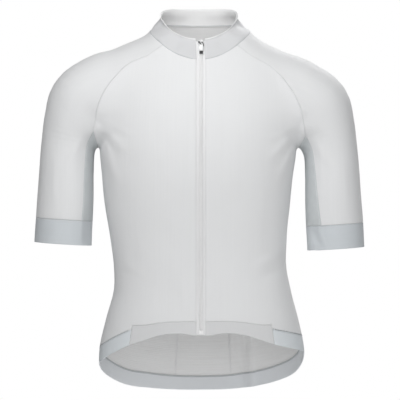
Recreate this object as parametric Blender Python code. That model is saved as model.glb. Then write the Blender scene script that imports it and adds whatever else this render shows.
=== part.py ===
"""Short-sleeved raglan cycling jersey, worn open and hollow on a plain figure.

The outside of the cloth is one smooth form: a stack of rounded sections for the trunk, joined softly to two
round arm tubes. Seam lines are laid on that form, and each panel is a thin wall woven between its seam lines.
Metres, +Z up. The front faces -Y, the wearer's left arm is at +X, and the origin is the middle of the neck at
shoulder level, where the wearer holds the jersey up.
"""

import math

import bmesh
import bpy
import numpy as np
from mathutils import Matrix, Vector

for old in list(bpy.data.objects):
    bpy.data.objects.remove(old, do_unlink=True)


def table(names, *rows):
    """Named columns of a short table, one row of numbers for each section."""
    return {name: np.array(column, dtype=float) for name, column in zip(names.split(), zip(*rows))}


# Walls and gaps
CLOTH = 0.0012
CUFF_WALL = 0.0014
COLLAR_WALL = 0.0016
BAND_WALL = 0.0014
SEAM_GAP = 0.0003

# Trunk: rounded sections, from the hem to the neck. The lean moves a section sideways.
TRUNK_POWER = 2.3
TRUNK = table(
    "height half_width front back lean",
    (-0.660, 0.1785, 0.1160, 0.1170, 0.0026),
    (-0.600, 0.1785, 0.1160, 0.1150, 0.0026),
    (-0.540, 0.1785, 0.1130, 0.1100, 0.0032),
    (-0.490, 0.1675, 0.1080, 0.1030, 0.0036),
    (-0.440, 0.1545, 0.1030, 0.0950, 0.0038),
    (-0.400, 0.1505, 0.1020, 0.0920, 0.0002),
    (-0.350, 0.1540, 0.1050, 0.0960, -0.0026),
    (-0.300, 0.1605, 0.1110, 0.1040, -0.0045),
    (-0.240, 0.1670, 0.1180, 0.1150, -0.0045),
    (-0.190, 0.1715, 0.1180, 0.1210, -0.0028),
    (-0.150, 0.1680, 0.1130, 0.1210, 0.0),
    (-0.110, 0.1580, 0.1020, 0.1170, 0.0),
    (-0.070, 0.1360, 0.0850, 0.1080, 0.0),
    (-0.040, 0.1120, 0.0695, 0.0980, 0.0),
    (0.000, 0.0870, 0.0580, 0.0800, 0.0),
    (0.026, 0.0760, 0.0520, 0.0655, 0.0),
    (0.060, 0.0640, 0.0460, 0.0560, 0.0),
)

# Arm tube on the wearer's left. Depth is how much deeper than wide the tube is.
ARM = table(
    "across forward height radius depth",
    (0.0300, 0.006, -0.0520, 0.0700, 1.00),
    (0.0575, 0.006, -0.0620, 0.0700, 1.00),
    (0.1220, 0.006, -0.0870, 0.0680, 1.00),
    (0.1730, 0.006, -0.1060, 0.0670, 1.02),
    (0.1990, 0.005, -0.1210, 0.0632, 1.06),
    (0.2140, 0.004, -0.1500, 0.0560, 1.12),
    (0.2270, 0.002, -0.1900, 0.0480, 1.16),
    (0.2315, 0.000, -0.2400, 0.0475, 1.16),
    (0.2330, -0.002, -0.2835, 0.0490, 1.13),
    (0.2370, -0.004, -0.3600, 0.0500, 1.10),
    (0.2390, -0.005, -0.4200, 0.0500, 1.10),
)
ARM_STEPS = 40
RIGHT_ARM_OUT = 0.0020
RIGHT_ARM_UP = 0.0085
RIGHT_ARM_FADE = (0.085, 0.185)

# Softness of the join between trunk and arms
JOIN = table(
    "height softness",
    (-0.70, 0.008),
    (-0.26, 0.008),
    (-0.21, 0.012),
    (-0.1925, 0.018),
    (-0.18, 0.040),
    (-0.165, 0.068),
    (-0.14, 0.072),
    (-0.11, 0.062),
    (-0.05, 0.050),
    (0.10, 0.040),
)

# Largest folds: soft ridges from a start to an end, on the front (-1) or the back (+1)
FOLDS = table(
    "x0 z0 x1 z1 face width rise",
    (0.172, -0.160, 0.112, -0.222, -1, 0.0085, 0.0024),
    (0.166, -0.186, 0.128, -0.262, -1, 0.0080, 0.0020),
    (-0.176, -0.152, -0.120, -0.206, -1, 0.0085, 0.0022),
    (-0.170, -0.180, -0.136, -0.266, -1, 0.0080, 0.0022),
    (0.190, -0.168, 0.226, -0.232, -1, 0.0070, 0.0018),
    (-0.195, -0.160, -0.230, -0.226, -1, 0.0070, 0.0018),
    (0.148, -0.372, 0.082, -0.404, -1, 0.0090, 0.0018),
    (-0.148, -0.384, -0.092, -0.412, -1, 0.0090, 0.0018),
    (0.170, -0.168, 0.108, -0.236, 1, 0.0090, 0.0026),
    (-0.174, -0.160, -0.116, -0.240, 1, 0.0090, 0.0024),
    (0.140, -0.338, 0.020, -0.362, 1, 0.0110, 0.0026),
    (-0.142, -0.352, -0.012, -0.378, 1, 0.0110, 0.0026),
    (0.120, -0.396, -0.040, -0.410, 1, 0.0100, 0.0020),
)

# Neckline and top of the collar, as rings: height = base + swing * cos(angle) + dip * cos(2 * angle)
NECK_HALF_WIDTH = 0.085
NECK_FRONT = 0.068
NECK_BACK = 0.065
NECK_HEIGHT = (-0.0011, -0.0342, -0.0071)
COLLAR_TOP_HALF_WIDTH = 0.067
COLLAR_TOP_FRONT = 0.062
COLLAR_TOP_BACK = 0.060
COLLAR_TOP_HEIGHT = (0.03225, -0.0315, -0.00775)
COLLAR_HOLLOW = 0.0022
COLLAR_LEAN = -0.0011
FRONT_SEAM_ANGLE = math.radians(56)
BACK_SEAM_ANGLE = math.radians(125)

# Raglan seam on the wearer's left, seen from the front and from the back
RAGLAN = table(
    "front_x front_z back_x back_z",
    (0.1820, -0.1730, 0.1820, -0.1730),
    (0.1800, -0.1580, 0.1805, -0.1580),
    (0.1785, -0.1330, 0.1780, -0.1360),
    (0.1745, -0.1130, 0.1730, -0.1130),
    (0.1645, -0.0880, 0.1630, -0.0880),
    (0.1490, -0.0660, 0.1480, -0.0630),
    (0.1290, -0.0460, 0.1270, -0.0380),
    (0.1000, -0.0290, 0.0980, -0.0120),
)
ARMPIT = (0.1780, 0.0, -0.1850)

# Under-sleeve panel: its seams as angles round the arm from the inner side, at the top and at the cuff
UNDER_FRONT = (45, 58)
UNDER_FRONT_RIGHT = (44, 48)
UNDER_BACK = (45, 55)
UNDER_SEAM_TOP = -0.2050
UNDER_MIDDLE_TOP = -0.2150

# Cuffs: seam and lower edge at the arm's middle, and how much lower the inner side is
CUFF_SEAM = -0.3262
CUFF_EDGE = -0.3684
CUFF_TILT = 0.065
ARM_HANG_TOP = -0.12

# Hem: lower edge round the trunk, by angle from the front. Bands stand above it.
HEM = table(
    "angle left_edge right_edge front_band grip_band",
    (0, -0.5145, -0.5145, 0.0245, 0.0245),
    (7, -0.5135, -0.5135, 0.0238, 0.0238),
    (14, -0.5105, -0.5110, 0.0210, 0.0210),
    (35, -0.5130, -0.5135, 0.0215, 0.0230),
    (47, -0.5225, -0.5235, 0.0265, 0.0250),
    (55, -0.5300, -0.5310, 0.0330, 0.0262),
    (65, -0.5365, -0.5440, 0.0330, 0.0270),
    (77, -0.5440, -0.5600, 0.0330, 0.0280),
    (90, -0.5530, -0.5720, 0.0330, 0.0300),
    (98, -0.5710, -0.5830, 0.0330, 0.0295),
    (107, -0.5895, -0.5960, 0.0330, 0.0285),
    (122, -0.6080, -0.6145, 0.0330, 0.0270),
    (138, -0.6195, -0.6220, 0.0330, 0.0260),
    (160, -0.6256, -0.6262, 0.0330, 0.0245),
    (180, -0.6266, -0.6266, 0.0330, 0.0240),
)
FRONT_START = 8.4
GRIP_END = 55.0
GRIP_END_GAP = 0.12
ZIP_EDGE_ANGLE = 3.5
SIDE_SEAM_DROP = 0.030
RIDGE_MARGIN = 0.020

# Zip: middle, half the gap between the fronts, half the chain, tape edge, fold beside the zip
ZIP_X = 0.0015
ZIP_GAP = 0.0078
CHAIN_HALF = 0.0030
TAPE_HALF = 0.0140
FRONT_FOLD = 0.0165
TAPE_DEPTH = COLLAR_WALL + SEAM_GAP
TAPE_WALL = 0.0009
CHAIN_DEPTH = 0.0004
CHAIN_STEP = 0.0003
TAPE_CLEAR = 0.0010
SPREAD_HALF = 0.0019
TAPE_LIFT = 0.0010
BOX_LIFT = 0.0080

# Slider, pull and box, sizes in the slider's own axes: across, up, out
SLIDER_HEIGHT = -0.0126
SLIDER_HALF = 0.0040
SLIDER_LONG = 0.0110
PLATE_LOW = -0.0001
PLATE_HIGH = 0.0012
PLATE_CHAMFER = 0.0014
FLANGE_WALL = 0.0006
FLANGE_REAR = -0.0013
FLANGE_SHORTER = 0.0020
REAR_PLATE = (-0.0042, -0.0032)
REAR_SCALE = (0.92, 0.96)
NECK_HALF = 0.0014
NECK_SPAN = (0.0010, 0.0050)
CROWN_HALF = 0.0011
CROWN_SPAN = (-0.0026, 0.0028)
CROWN_TOP = 0.0035
WINDOW_SPAN = (-0.0018, 0.0020)
RUN_IN = 0.0004
PIVOT_OUT = 0.00205
BAR_RADIUS = 0.0006
BAR_SIDES = 12
EYE_HALF = 0.0015
EYE_OUTER = 0.0029
EYE_END = 0.0036
EYE_LONG = 0.0060
EYE_THINNER = 0.85
AXLE_PROUD = 0.0001
PULL_HALF = 0.0039
PULL_END = 0.0155
PULL_CORNER = 0.0030
TIP_HALF = 0.0029
TIP_END = 0.0203
TIP_CORNER = 0.0018
BOX_SIZE = (0.0074, 0.0024, 0.0066)
BOX_BEVEL = 0.0006

# Numbers of cells between seams
ROWS_BODY = 14
ROWS_YOKE = 11
ROWS_UNDER = 3
COLUMNS_FRONT_HEM = 6
COLUMNS_FRONT_GRIP = 5
COLUMNS_BACK = 20
COLUMNS_SLEEVE = 14
ROWS_ARM = 7
ROWS_CUFF = 2
ROWS_COLLAR = 3
ROWS_BAND = 2
PATCH_COLUMNS = 8

# Pockets on the back: columns left free at the sides, top edge, how far it falls outside the dividers
POCKET_SIDE = 2
POCKET_ROWS = 7
POCKET_STEP = 0.010
POCKET_TOP = -0.4380
POCKET_DIVIDER = 0.075
POCKET_FALL = 0.20
BINDING_HEIGHT = 0.0090
BINDING_LIFT = 0.0005


# ---------------------------------------------------------------- form

def curve(value, places, levels):
    """Smooth curve through the levels at the given places."""
    step = np.diff(places)
    slope = np.diff(levels) / step
    tangent = np.empty(len(places))
    tangent[0], tangent[-1] = slope[0], slope[-1]
    tangent[1:-1] = (slope[:-1] * step[1:] + slope[1:] * step[:-1]) / (step[:-1] + step[1:])
    value = np.clip(value, places[0], places[-1])
    cell = np.clip(np.searchsorted(places, value, side="right") - 1, 0, len(step) - 1)
    t = (value - places[cell]) / step[cell]
    ends = (1 + 2 * t) * (1 - t) ** 2 * levels[cell] + t * t * (3 - 2 * t) * levels[cell + 1]
    pulls = t * (1 - t) ** 2 * tangent[cell] + t * t * (t - 1) * tangent[cell + 1]
    return ends + step[cell] * pulls


def arm_sections():
    """Closely spaced sections along the arm, as rows of across, forward, height, radius and depth."""
    centres = np.stack([ARM["across"], ARM["forward"], ARM["height"]], axis=1)
    length = np.concatenate([[0.0], np.cumsum(np.linalg.norm(np.diff(centres, axis=0), axis=1))])
    places = np.linspace(0.0, length[-1], ARM_STEPS + 1)
    return np.stack([curve(places, length, ARM[name]) for name in ARM], axis=1)


ARM_SECTIONS = arm_sections()


def trunk_section(height):
    """Half width, front depth, back depth and lean of the trunk at a height."""
    return [curve(height, TRUNK["height"], TRUNK[name]) for name in ("half_width", "front", "back", "lean")]


def trunk_distance(points):
    """Distance of points from the trunk, negative inside."""
    half_width, front, back, lean = trunk_section(points[:, 2])
    across = points[:, 0] - lean
    depth = np.where(points[:, 1] < 0, front, back)
    power = (np.abs(across) / half_width) ** TRUNK_POWER + (np.abs(points[:, 1]) / depth) ** TRUNK_POWER
    share = np.maximum(power ** (1 / TRUNK_POWER), 1e-3)
    return np.hypot(across, points[:, 1]) * (1 - 1 / share)


def right_arm_shift(across):
    """How far the wearer's right arm sits out and up from the left one's mirror image."""
    share = np.clip((across - RIGHT_ARM_FADE[0]) / (RIGHT_ARM_FADE[1] - RIGHT_ARM_FADE[0]), 0, 1)
    share = share * share * (3 - 2 * share)
    return RIGHT_ARM_OUT * share, RIGHT_ARM_UP * share


def arm_distance(points):
    """Distance of points from the arm on their own side, negative inside."""
    wearer_right = points[:, 0] < 0
    out, up = right_arm_shift(np.abs(points[:, 0]))
    across = np.abs(points[:, 0]) - np.where(wearer_right, out, 0.0)
    height = points[:, 2] - np.where(wearer_right, up, 0.0)
    low, high = ARM_SECTIONS[:-1], ARM_SECTIONS[1:]
    run_x, run_z = high[:, 0] - low[:, 0], high[:, 2] - low[:, 2]
    off_x, off_z = across[:, None] - low[:, 0], height[:, None] - low[:, 2]
    off_y = (points[:, 1:2] - low[:, 1]) / ((low[:, 4] + high[:, 4]) / 2)
    t = np.clip((off_x * run_x + off_z * run_z) / (run_x ** 2 + run_z ** 2), 0, 1)
    gap = np.sqrt((off_x - t * run_x) ** 2 + off_y ** 2 + (off_z - t * run_z) ** 2)
    return (gap - low[:, 3] - t * (high[:, 3] - low[:, 3])).min(axis=1)


def fold_rise(points):
    """How far the folds raise the cloth at points."""
    rise = np.zeros(len(points))
    for x0, z0, x1, z1, face, width, top in zip(*FOLDS.values()):
        run_x, run_z = x1 - x0, z1 - z0
        off_x, off_z = points[:, 0] - x0, points[:, 2] - z0
        t = (off_x * run_x + off_z * run_z) / (run_x ** 2 + run_z ** 2)
        away = (off_x * run_z - off_z * run_x) ** 2 / (run_x ** 2 + run_z ** 2)
        along = np.sin(math.pi * np.clip(t, 0, 1)) ** 1.5
        rise += top * along * np.exp(-away / width ** 2) * np.clip(face * points[:, 1] / 0.03, 0, 1)
    return rise


def form(points):
    """Distance of points from the outside of the cloth, negative inside."""
    trunk, arm = trunk_distance(points), arm_distance(points)
    softness = curve(points[:, 2], JOIN["height"], JOIN["softness"])
    blend = np.maximum(softness - np.abs(trunk - arm), 0) / softness
    return np.minimum(trunk, arm) - blend ** 3 * softness / 6 - fold_rise(points)


def gradient(points):
    """Slope of the form at points."""
    small = 2e-4
    slope = np.empty_like(points)
    for axis in range(3):
        shift = np.zeros(3)
        shift[axis] = small
        slope[:, axis] = (form(points + shift) - form(points - shift)) / (2 * small)
    return slope


def project(points):
    """Moves points onto the form."""
    shape = np.shape(points)
    points = np.array(points, dtype=float).reshape(-1, 3)
    for _ in range(7):
        slope = gradient(points)
        steep = np.maximum((slope ** 2).sum(axis=1), 0.05)
        points -= slope * np.clip(form(points) / steep, -0.02, 0.02)[:, None]
    return points.reshape(shape)


def outward(points):
    """Unit directions out of the form."""
    slope = gradient(np.reshape(points, (-1, 3)))
    return (slope / np.linalg.norm(slope, axis=1)[:, None]).reshape(np.shape(points))


def cast(across, height, face):
    """Points of the form's front (-1) or back (+1) at places seen from there."""
    across, height = np.broadcast_arrays(np.asarray(across, float), np.asarray(height, float))
    outside, inside = np.full(across.shape, 0.25 * face), np.zeros(across.shape)
    for _ in range(40):
        middle = (outside + inside) / 2
        clear = form(np.stack([across, middle, height], axis=-1).reshape(-1, 3)).reshape(across.shape) > 0
        outside, inside = np.where(clear, middle, outside), np.where(clear, inside, middle)
    return np.stack([across, (outside + inside) / 2, height], axis=-1)


# ---------------------------------------------------------------- lines on the form

def line_shares(line):
    """Share of its whole length at each point of a line, or of each line of several."""
    steps = np.linalg.norm(np.diff(line, axis=-2), axis=-1)
    length = np.concatenate([np.zeros(steps.shape[:-1] + (1,)), np.cumsum(steps, axis=-1)], axis=-1)
    return length / length[..., -1:]


def stretch(anchors, shares):
    """Line on the form through rough anchors, with a point at each share of its length. Its ends stay put."""
    return stretch_all(np.asarray(anchors, float)[None], np.asarray(shares, float)[None])[0]


def stretch_all(anchors, shares):
    """Several lines on the form at once, one for each row of anchors and of shares."""
    lines = anchors
    while lines.shape[1] < 3 * shares.shape[1]:
        longer = np.empty((len(lines), 2 * lines.shape[1] - 1, 3))
        longer[:, 0::2], longer[:, 1::2] = lines, project((lines[:, 1:] + lines[:, :-1]) / 2)
        lines = longer
    places = line_shares(lines)
    points = np.array([
        np.stack([np.interp(share, place, line[:, axis]) for axis in range(3)], axis=1)
        for share, place, line in zip(shares, places, lines)
    ])
    points[:, 1:-1] = project(points[:, 1:-1])
    return points


def even(cells):
    """Even shares from 0 to 1."""
    return np.linspace(0, 1, cells + 1)


def ring_point(angle, half_width, front, back, heights):
    """Point of a ring at an angle from the front."""
    base, swing, dip = heights
    depth = np.where(np.cos(angle) > 0, front, back)
    height = base + swing * np.cos(angle) + dip * np.cos(2 * angle)
    return np.stack([half_width * np.sin(angle), -depth * np.cos(angle), height], axis=-1)


def neckline(angles):
    """Points of the neckline on the form."""
    return project(ring_point(angles, NECK_HALF_WIDTH, NECK_FRONT, NECK_BACK, NECK_HEIGHT))


def hem_line(angles, side, band=None):
    """Points of the hem's lower edge, or of the upper edge of a band on it, by angle from the front."""
    edge = HEM["left_edge"] if side > 0 else HEM["right_edge"]
    height = curve(angles, HEM["angle"], edge)
    if band:
        height = height + curve(angles, HEM["angle"], HEM[band])
    half_width, front, back, lean = trunk_section(height)
    turn = np.radians(angles)
    depth = np.where(np.cos(turn) > 0, front, back)
    power = (np.abs(np.sin(turn)) / half_width) ** TRUNK_POWER + (np.abs(np.cos(turn)) / depth) ** TRUNK_POWER
    reach = power ** (-1 / TRUNK_POWER)
    return project(np.stack([side * reach * np.sin(turn) + lean, -reach * np.cos(turn), height], axis=-1))


def arm_place(side, height):
    """Middle, radius and depth of the arm at a height, below the shoulder."""
    up = RIGHT_ARM_UP if side < 0 else 0.0
    out = RIGHT_ARM_OUT if side < 0 else 0.0
    falling = ARM_SECTIONS[ARM_SECTIONS[:, 2] < ARM_HANG_TOP][::-1]
    read = [np.interp(height - up, falling[:, 2], falling[:, column]) for column in (0, 1, 3, 4)]
    across, forward, radius, depth = read
    return side * (across + out), forward, radius, depth


def arm_point(side, angle, middle_height):
    """Point of the sleeve at an angle round the arm from its inner side, front positive, on a level cut."""
    up = RIGHT_ARM_UP if side < 0 else 0.0
    across, forward, radius, depth = arm_place(side, middle_height + up)
    offset_x = -side * radius * np.cos(angle)
    height = middle_height + up + side * offset_x * CUFF_TILT
    return project(np.stack([across + offset_x, forward - depth * radius * np.sin(angle), height], axis=-1))


def raglan_line(side, face):
    """Raglan seam from the armpit to the neckline. Its first cells border the under-sleeve panel."""
    name = "front" if face < 0 else "back"
    along, height = RAGLAN[name + "_x"].copy(), RAGLAN[name + "_z"].copy()
    if side < 0:
        out, up = right_arm_shift(along)
        along, height = along + out, height + up
    seam = cast(side * along, height, face)
    angle = FRONT_SEAM_ANGLE if face < 0 else BACK_SEAM_ANGLE
    top = neckline(np.array([side * angle]))
    low = stretch([armpit_point(side), seam[0]], even(ROWS_UNDER))
    high = stretch(np.concatenate([seam, top]), even(ROWS_YOKE - ROWS_UNDER))
    return np.concatenate([low, high[1:]])


def armpit_point(side):
    """Top of the armpit."""
    x, y, z = ARMPIT
    out, up = (RIGHT_ARM_OUT, RIGHT_ARM_UP) if side < 0 else (0.0, 0.0)
    return project([[side * (x + out), y, z + up]])[0]


def side_line(side):
    """Side seam from the hem band to the armpit."""
    low = hem_line(np.array([90.0]), side, "grip_band")[0]
    heights = np.linspace(low[2], ARMPIT[2] - SIDE_SEAM_DROP, 8)[1:]
    half_width, _, _, lean = trunk_section(heights)
    between = project(np.stack([side * half_width + lean, 0 * heights, heights], axis=1))
    return stretch(np.concatenate([[low], between, [armpit_point(side)]]), even(ROWS_BODY))


def under_line(side, face, start):
    """Seam of the under-sleeve panel from the cuff up to its start on the raglan seam."""
    top, low = UNDER_FRONT if face < 0 else UNDER_BACK
    if side < 0 and face < 0:
        top, low = UNDER_FRONT_RIGHT
    heights = np.linspace(CUFF_SEAM, UNDER_SEAM_TOP, 6)
    angles = -face * np.radians(np.linspace(low, top, 6))
    return stretch(np.concatenate([arm_point(side, angles, heights), [start]]), even(ROWS_ARM))


def weave(left, right, bottom, top, middle=None):
    """Grid of points on the form between four borders, rows from bottom to top."""
    rows = even(len(left) - 1)[1:-1, None]
    first, last = line_shares(bottom), line_shares(top)
    if middle is None:
        lines = project(patch(left, right, bottom, top)[1:-1])
        lines[:, 0], lines[:, -1] = left[1:-1], right[1:-1]
    else:
        lines = np.stack([left, middle, right], axis=1)[1:-1]
    inner = stretch_all(lines, first + (last - first) * rows)
    return np.concatenate([bottom[None], inner, top[None]])


def patch(left, right, bottom, top):
    """Rough sheet of points between four borders. Each border's bend fades towards the one across from it."""
    across = even(PATCH_COLUMNS)
    low, high = [
        np.stack([np.interp(across, line_shares(line), line[:, axis]) for axis in range(3)], axis=1)
        for line in (bottom, top)
    ]
    up, u = even(len(left) - 1)[:, None, None], across[None, :, None]
    from_rows = (1 - up) * low + up * high
    from_sides = (1 - u) * left[:, None] + u * right[:, None]
    corners = (1 - up) * ((1 - u) * low[0] + u * low[-1]) + up * ((1 - u) * high[0] + u * high[-1])
    return from_rows + from_sides - corners


# ---------------------------------------------------------------- solids

def material(name, colour, roughness, metallic=0.0):
    """Principled material with one colour."""
    made = bpy.data.materials.new(name)
    made.use_nodes = True
    shader = made.node_tree.nodes["Principled BSDF"]
    shader.inputs["Base Color"].default_value = (*colour, 1.0)
    shader.inputs["Roughness"].default_value = roughness
    shader.inputs["Metallic"].default_value = metallic
    return made


def add_object(name, mesh, finish, place=None):
    """Puts a mesh in the scene under its node's name."""
    item = bpy.data.objects.new(name, mesh)
    mesh.materials.append(finish)
    bpy.context.scene.collection.objects.link(item)
    if place is not None:
        item.matrix_world = place
    return item


def surface_normals(grid, closed=False):
    """Unit directions out of a grid, from its own neighbours."""
    across = np.gradient(grid, axis=1)
    if closed:
        across = np.roll(grid, -1, axis=1) - np.roll(grid, 1, axis=1)
    found = np.cross(across, np.gradient(grid, axis=0))
    return found / np.linalg.norm(found, axis=2)[:, :, None]


def inset(grid, sides, closed=False):
    """Draws the named borders of a grid in from their seams, by half the gap."""
    shift = np.zeros_like(grid)
    borders = {"bottom": (0, 1, 1), "top": (-1, -2, 1), "left": (0, 1, 0), "right": (-1, -2, 0)}
    for side in sides.split():
        edge_at, next_at, is_row = borders[side]
        edge, inner = (grid[edge_at], grid[next_at]) if is_row else (grid[:, edge_at], grid[:, next_at])
        steps = np.diff(edge, axis=0) if not closed else np.roll(edge, -1, axis=0) - edge
        steps /= np.linalg.norm(steps, axis=1)[:, None]
        before, after = (np.roll(steps, 1, axis=0), steps) if closed else (
            np.concatenate([steps[:1], steps]), np.concatenate([steps, steps[-1:]]))
        run = before + after
        half_turn = np.linalg.norm(run, axis=1) / 2
        run /= np.linalg.norm(run, axis=1)[:, None]
        way = inner - edge
        way -= (way * run).sum(axis=1)[:, None] * run
        way *= SEAM_GAP / 2 / (np.linalg.norm(way, axis=1) * half_turn)[:, None]
        if is_row:
            shift[edge_at] += way
        else:
            shift[:, edge_at] += way
    return grid + shift


def wall(name, outer, inner, finish, closed=False):
    """Closed thin wall between an outer and an inner grid of points. A closed grid goes right round."""
    rows, columns = outer.shape[:2]
    shape = bmesh.new()
    sheets = [[[shape.verts.new(point) for point in row] for row in grid] for grid in (outer, inner)]
    front, rear = sheets

    def quad(a, b, c, d):
        shape.faces.new((a, b, c))
        shape.faces.new((a, c, d))

    span = columns if closed else columns - 1
    for r in range(rows - 1):
        for c in range(span):
            n = (c + 1) % columns
            quad(front[r][c], front[r][n], front[r + 1][n], front[r + 1][c])
            quad(rear[r][c], rear[r + 1][c], rear[r + 1][n], rear[r][n])
    for c in range(span):
        n = (c + 1) % columns
        quad(rear[0][c], rear[0][n], front[0][n], front[0][c])
        quad(front[-1][c], front[-1][n], rear[-1][n], rear[-1][c])
    if not closed:
        for r in range(rows - 1):
            quad(front[r][0], front[r + 1][0], rear[r + 1][0], rear[r][0])
            quad(rear[r][-1], rear[r + 1][-1], front[r + 1][-1], front[r][-1])
    mesh = bpy.data.meshes.new(name)
    shape.to_mesh(mesh)
    shape.free()
    mesh.shade_smooth()
    mesh.set_sharp_from_angle(angle=math.radians(50))
    return add_object(name, mesh, finish)


def cloth(name, grid, finish, seams="", thickness=CLOTH, closed=False):
    """Panel of cloth from a grid on the form."""
    outer = inset(grid, seams, closed)
    return wall(name, outer, outer - thickness * outward(outer), finish, closed)


def box(low, high):
    """Mesh data of a plain block, as a bmesh, between two corners."""
    shape = bmesh.new()
    low, high = Vector(low), Vector(high)
    bmesh.ops.create_cube(shape, size=1.0)
    bmesh.ops.scale(shape, vec=high - low, verts=shape.verts)
    bmesh.ops.translate(shape, vec=(low + high) / 2, verts=shape.verts)
    return shape


def bar(radius, low, high, height):
    """Round bar across, as a bmesh, between two places at a height out."""
    shape = bmesh.new()
    bmesh.ops.create_cone(
        shape, cap_ends=True, segments=BAR_SIDES, radius1=radius, radius2=radius, depth=high - low)
    bmesh.ops.rotate(shape, cent=(0, 0, 0), matrix=Matrix.Rotation(math.pi / 2, 3, "Y"), verts=shape.verts)
    bmesh.ops.translate(shape, vec=((low + high) / 2, 0, height), verts=shape.verts)
    return shape


def plate(outline, low, high):
    """Flat plate, as a bmesh, from an outline of across and up, between two levels out."""
    shape = bmesh.new()
    face = shape.faces.new([shape.verts.new((x, y, low)) for x, y in outline])
    raised = bmesh.ops.extrude_face_region(shape, geom=[face])
    top = [item for item in raised["geom"] if isinstance(item, bmesh.types.BMVert)]
    bmesh.ops.translate(shape, vec=(0, 0, high - low), verts=top)
    bmesh.ops.recalc_face_normals(shape, faces=shape.faces)
    return shape


def fused(name, shapes, cuts, finish, place):
    """One solid from several shapes that run into each other, less the cuts."""
    items = []
    for number, shape in enumerate(shapes + cuts):
        mesh = bpy.data.meshes.new(f"{name}_{number}")
        shape.to_mesh(mesh)
        shape.free()
        items.append(mesh)
    main = add_object(name, items[0], finish, place)
    for number, mesh in enumerate(items[1:], start=1):
        guide = add_object(f"guide_{name}_{number}", mesh, finish, place)
        guide.hide_render = True
        guide.display_type = "WIRE"
        join = main.modifiers.new(f"join_{number}", "BOOLEAN")
        join.operation = "UNION" if number < len(shapes) else "DIFFERENCE"
        join.object = guide
        join.solver = "EXACT"
    return main


# ---------------------------------------------------------------- garment

WHITE_KNIT = material("white_knit", (0.86, 0.87, 0.88), 0.75)
COLLAR_KNIT = material("collar_knit", (0.85, 0.86, 0.87), 0.75)
GREY_MESH = material("grey_mesh", (0.55, 0.60, 0.62), 0.80)
CUFF_ELASTIC = material("cuff_elastic", (0.52, 0.57, 0.60), 0.70)
GRIP_ELASTIC = material("grip_elastic", (0.50, 0.56, 0.59), 0.70)
POCKET_KNIT = material("pocket_knit", (0.84, 0.85, 0.87), 0.75)
ZIP_TAPE = material("zip_tape", (0.88, 0.88, 0.89), 0.60)
ZIP_METAL = material("zip_metal", (0.80, 0.80, 0.81), 0.30, 0.6)
ZIP_PLASTIC = material("zip_plastic", (0.85, 0.85, 0.86), 0.40)
PULL_WHITE = material("pull_white", (0.90, 0.90, 0.90), 0.35)
PULL_BLACK = material("pull_black", (0.03, 0.03, 0.035), 0.45)


def front_columns():
    """Angles across a front at the hem: those of the hem piece, then those of the grip past the step."""
    hem_piece = np.linspace(FRONT_START, GRIP_END - GRIP_END_GAP, COLUMNS_FRONT_HEM)
    grip = np.linspace(GRIP_END + GRIP_END_GAP, 90.0, COLUMNS_FRONT_GRIP + 1)
    return hem_piece, grip


def zip_lines(side, low):
    """Edge and fold of a front beside the zip, from a low height to the neckline."""
    edge_x, fold_x = ZIP_X + side * ZIP_GAP, ZIP_X + side * FRONT_FOLD
    rows = ROWS_BODY + ROWS_YOKE
    lines = []
    for x in (edge_x, fold_x):
        top = neckline(np.array([math.asin(x / NECK_HALF_WIDTH)]))[0]
        heights = low + (top[2] - low) * even(rows)
        line = cast(np.full(rows + 1, x), heights, -1)
        line[-1] = top
        lines.append(line)
    return lines


def left_to_right(grid, side):
    """Turns the columns of a grid made from the middle outwards so that its outside faces out."""
    return grid if side > 0 else grid[:, ::-1]


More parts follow.
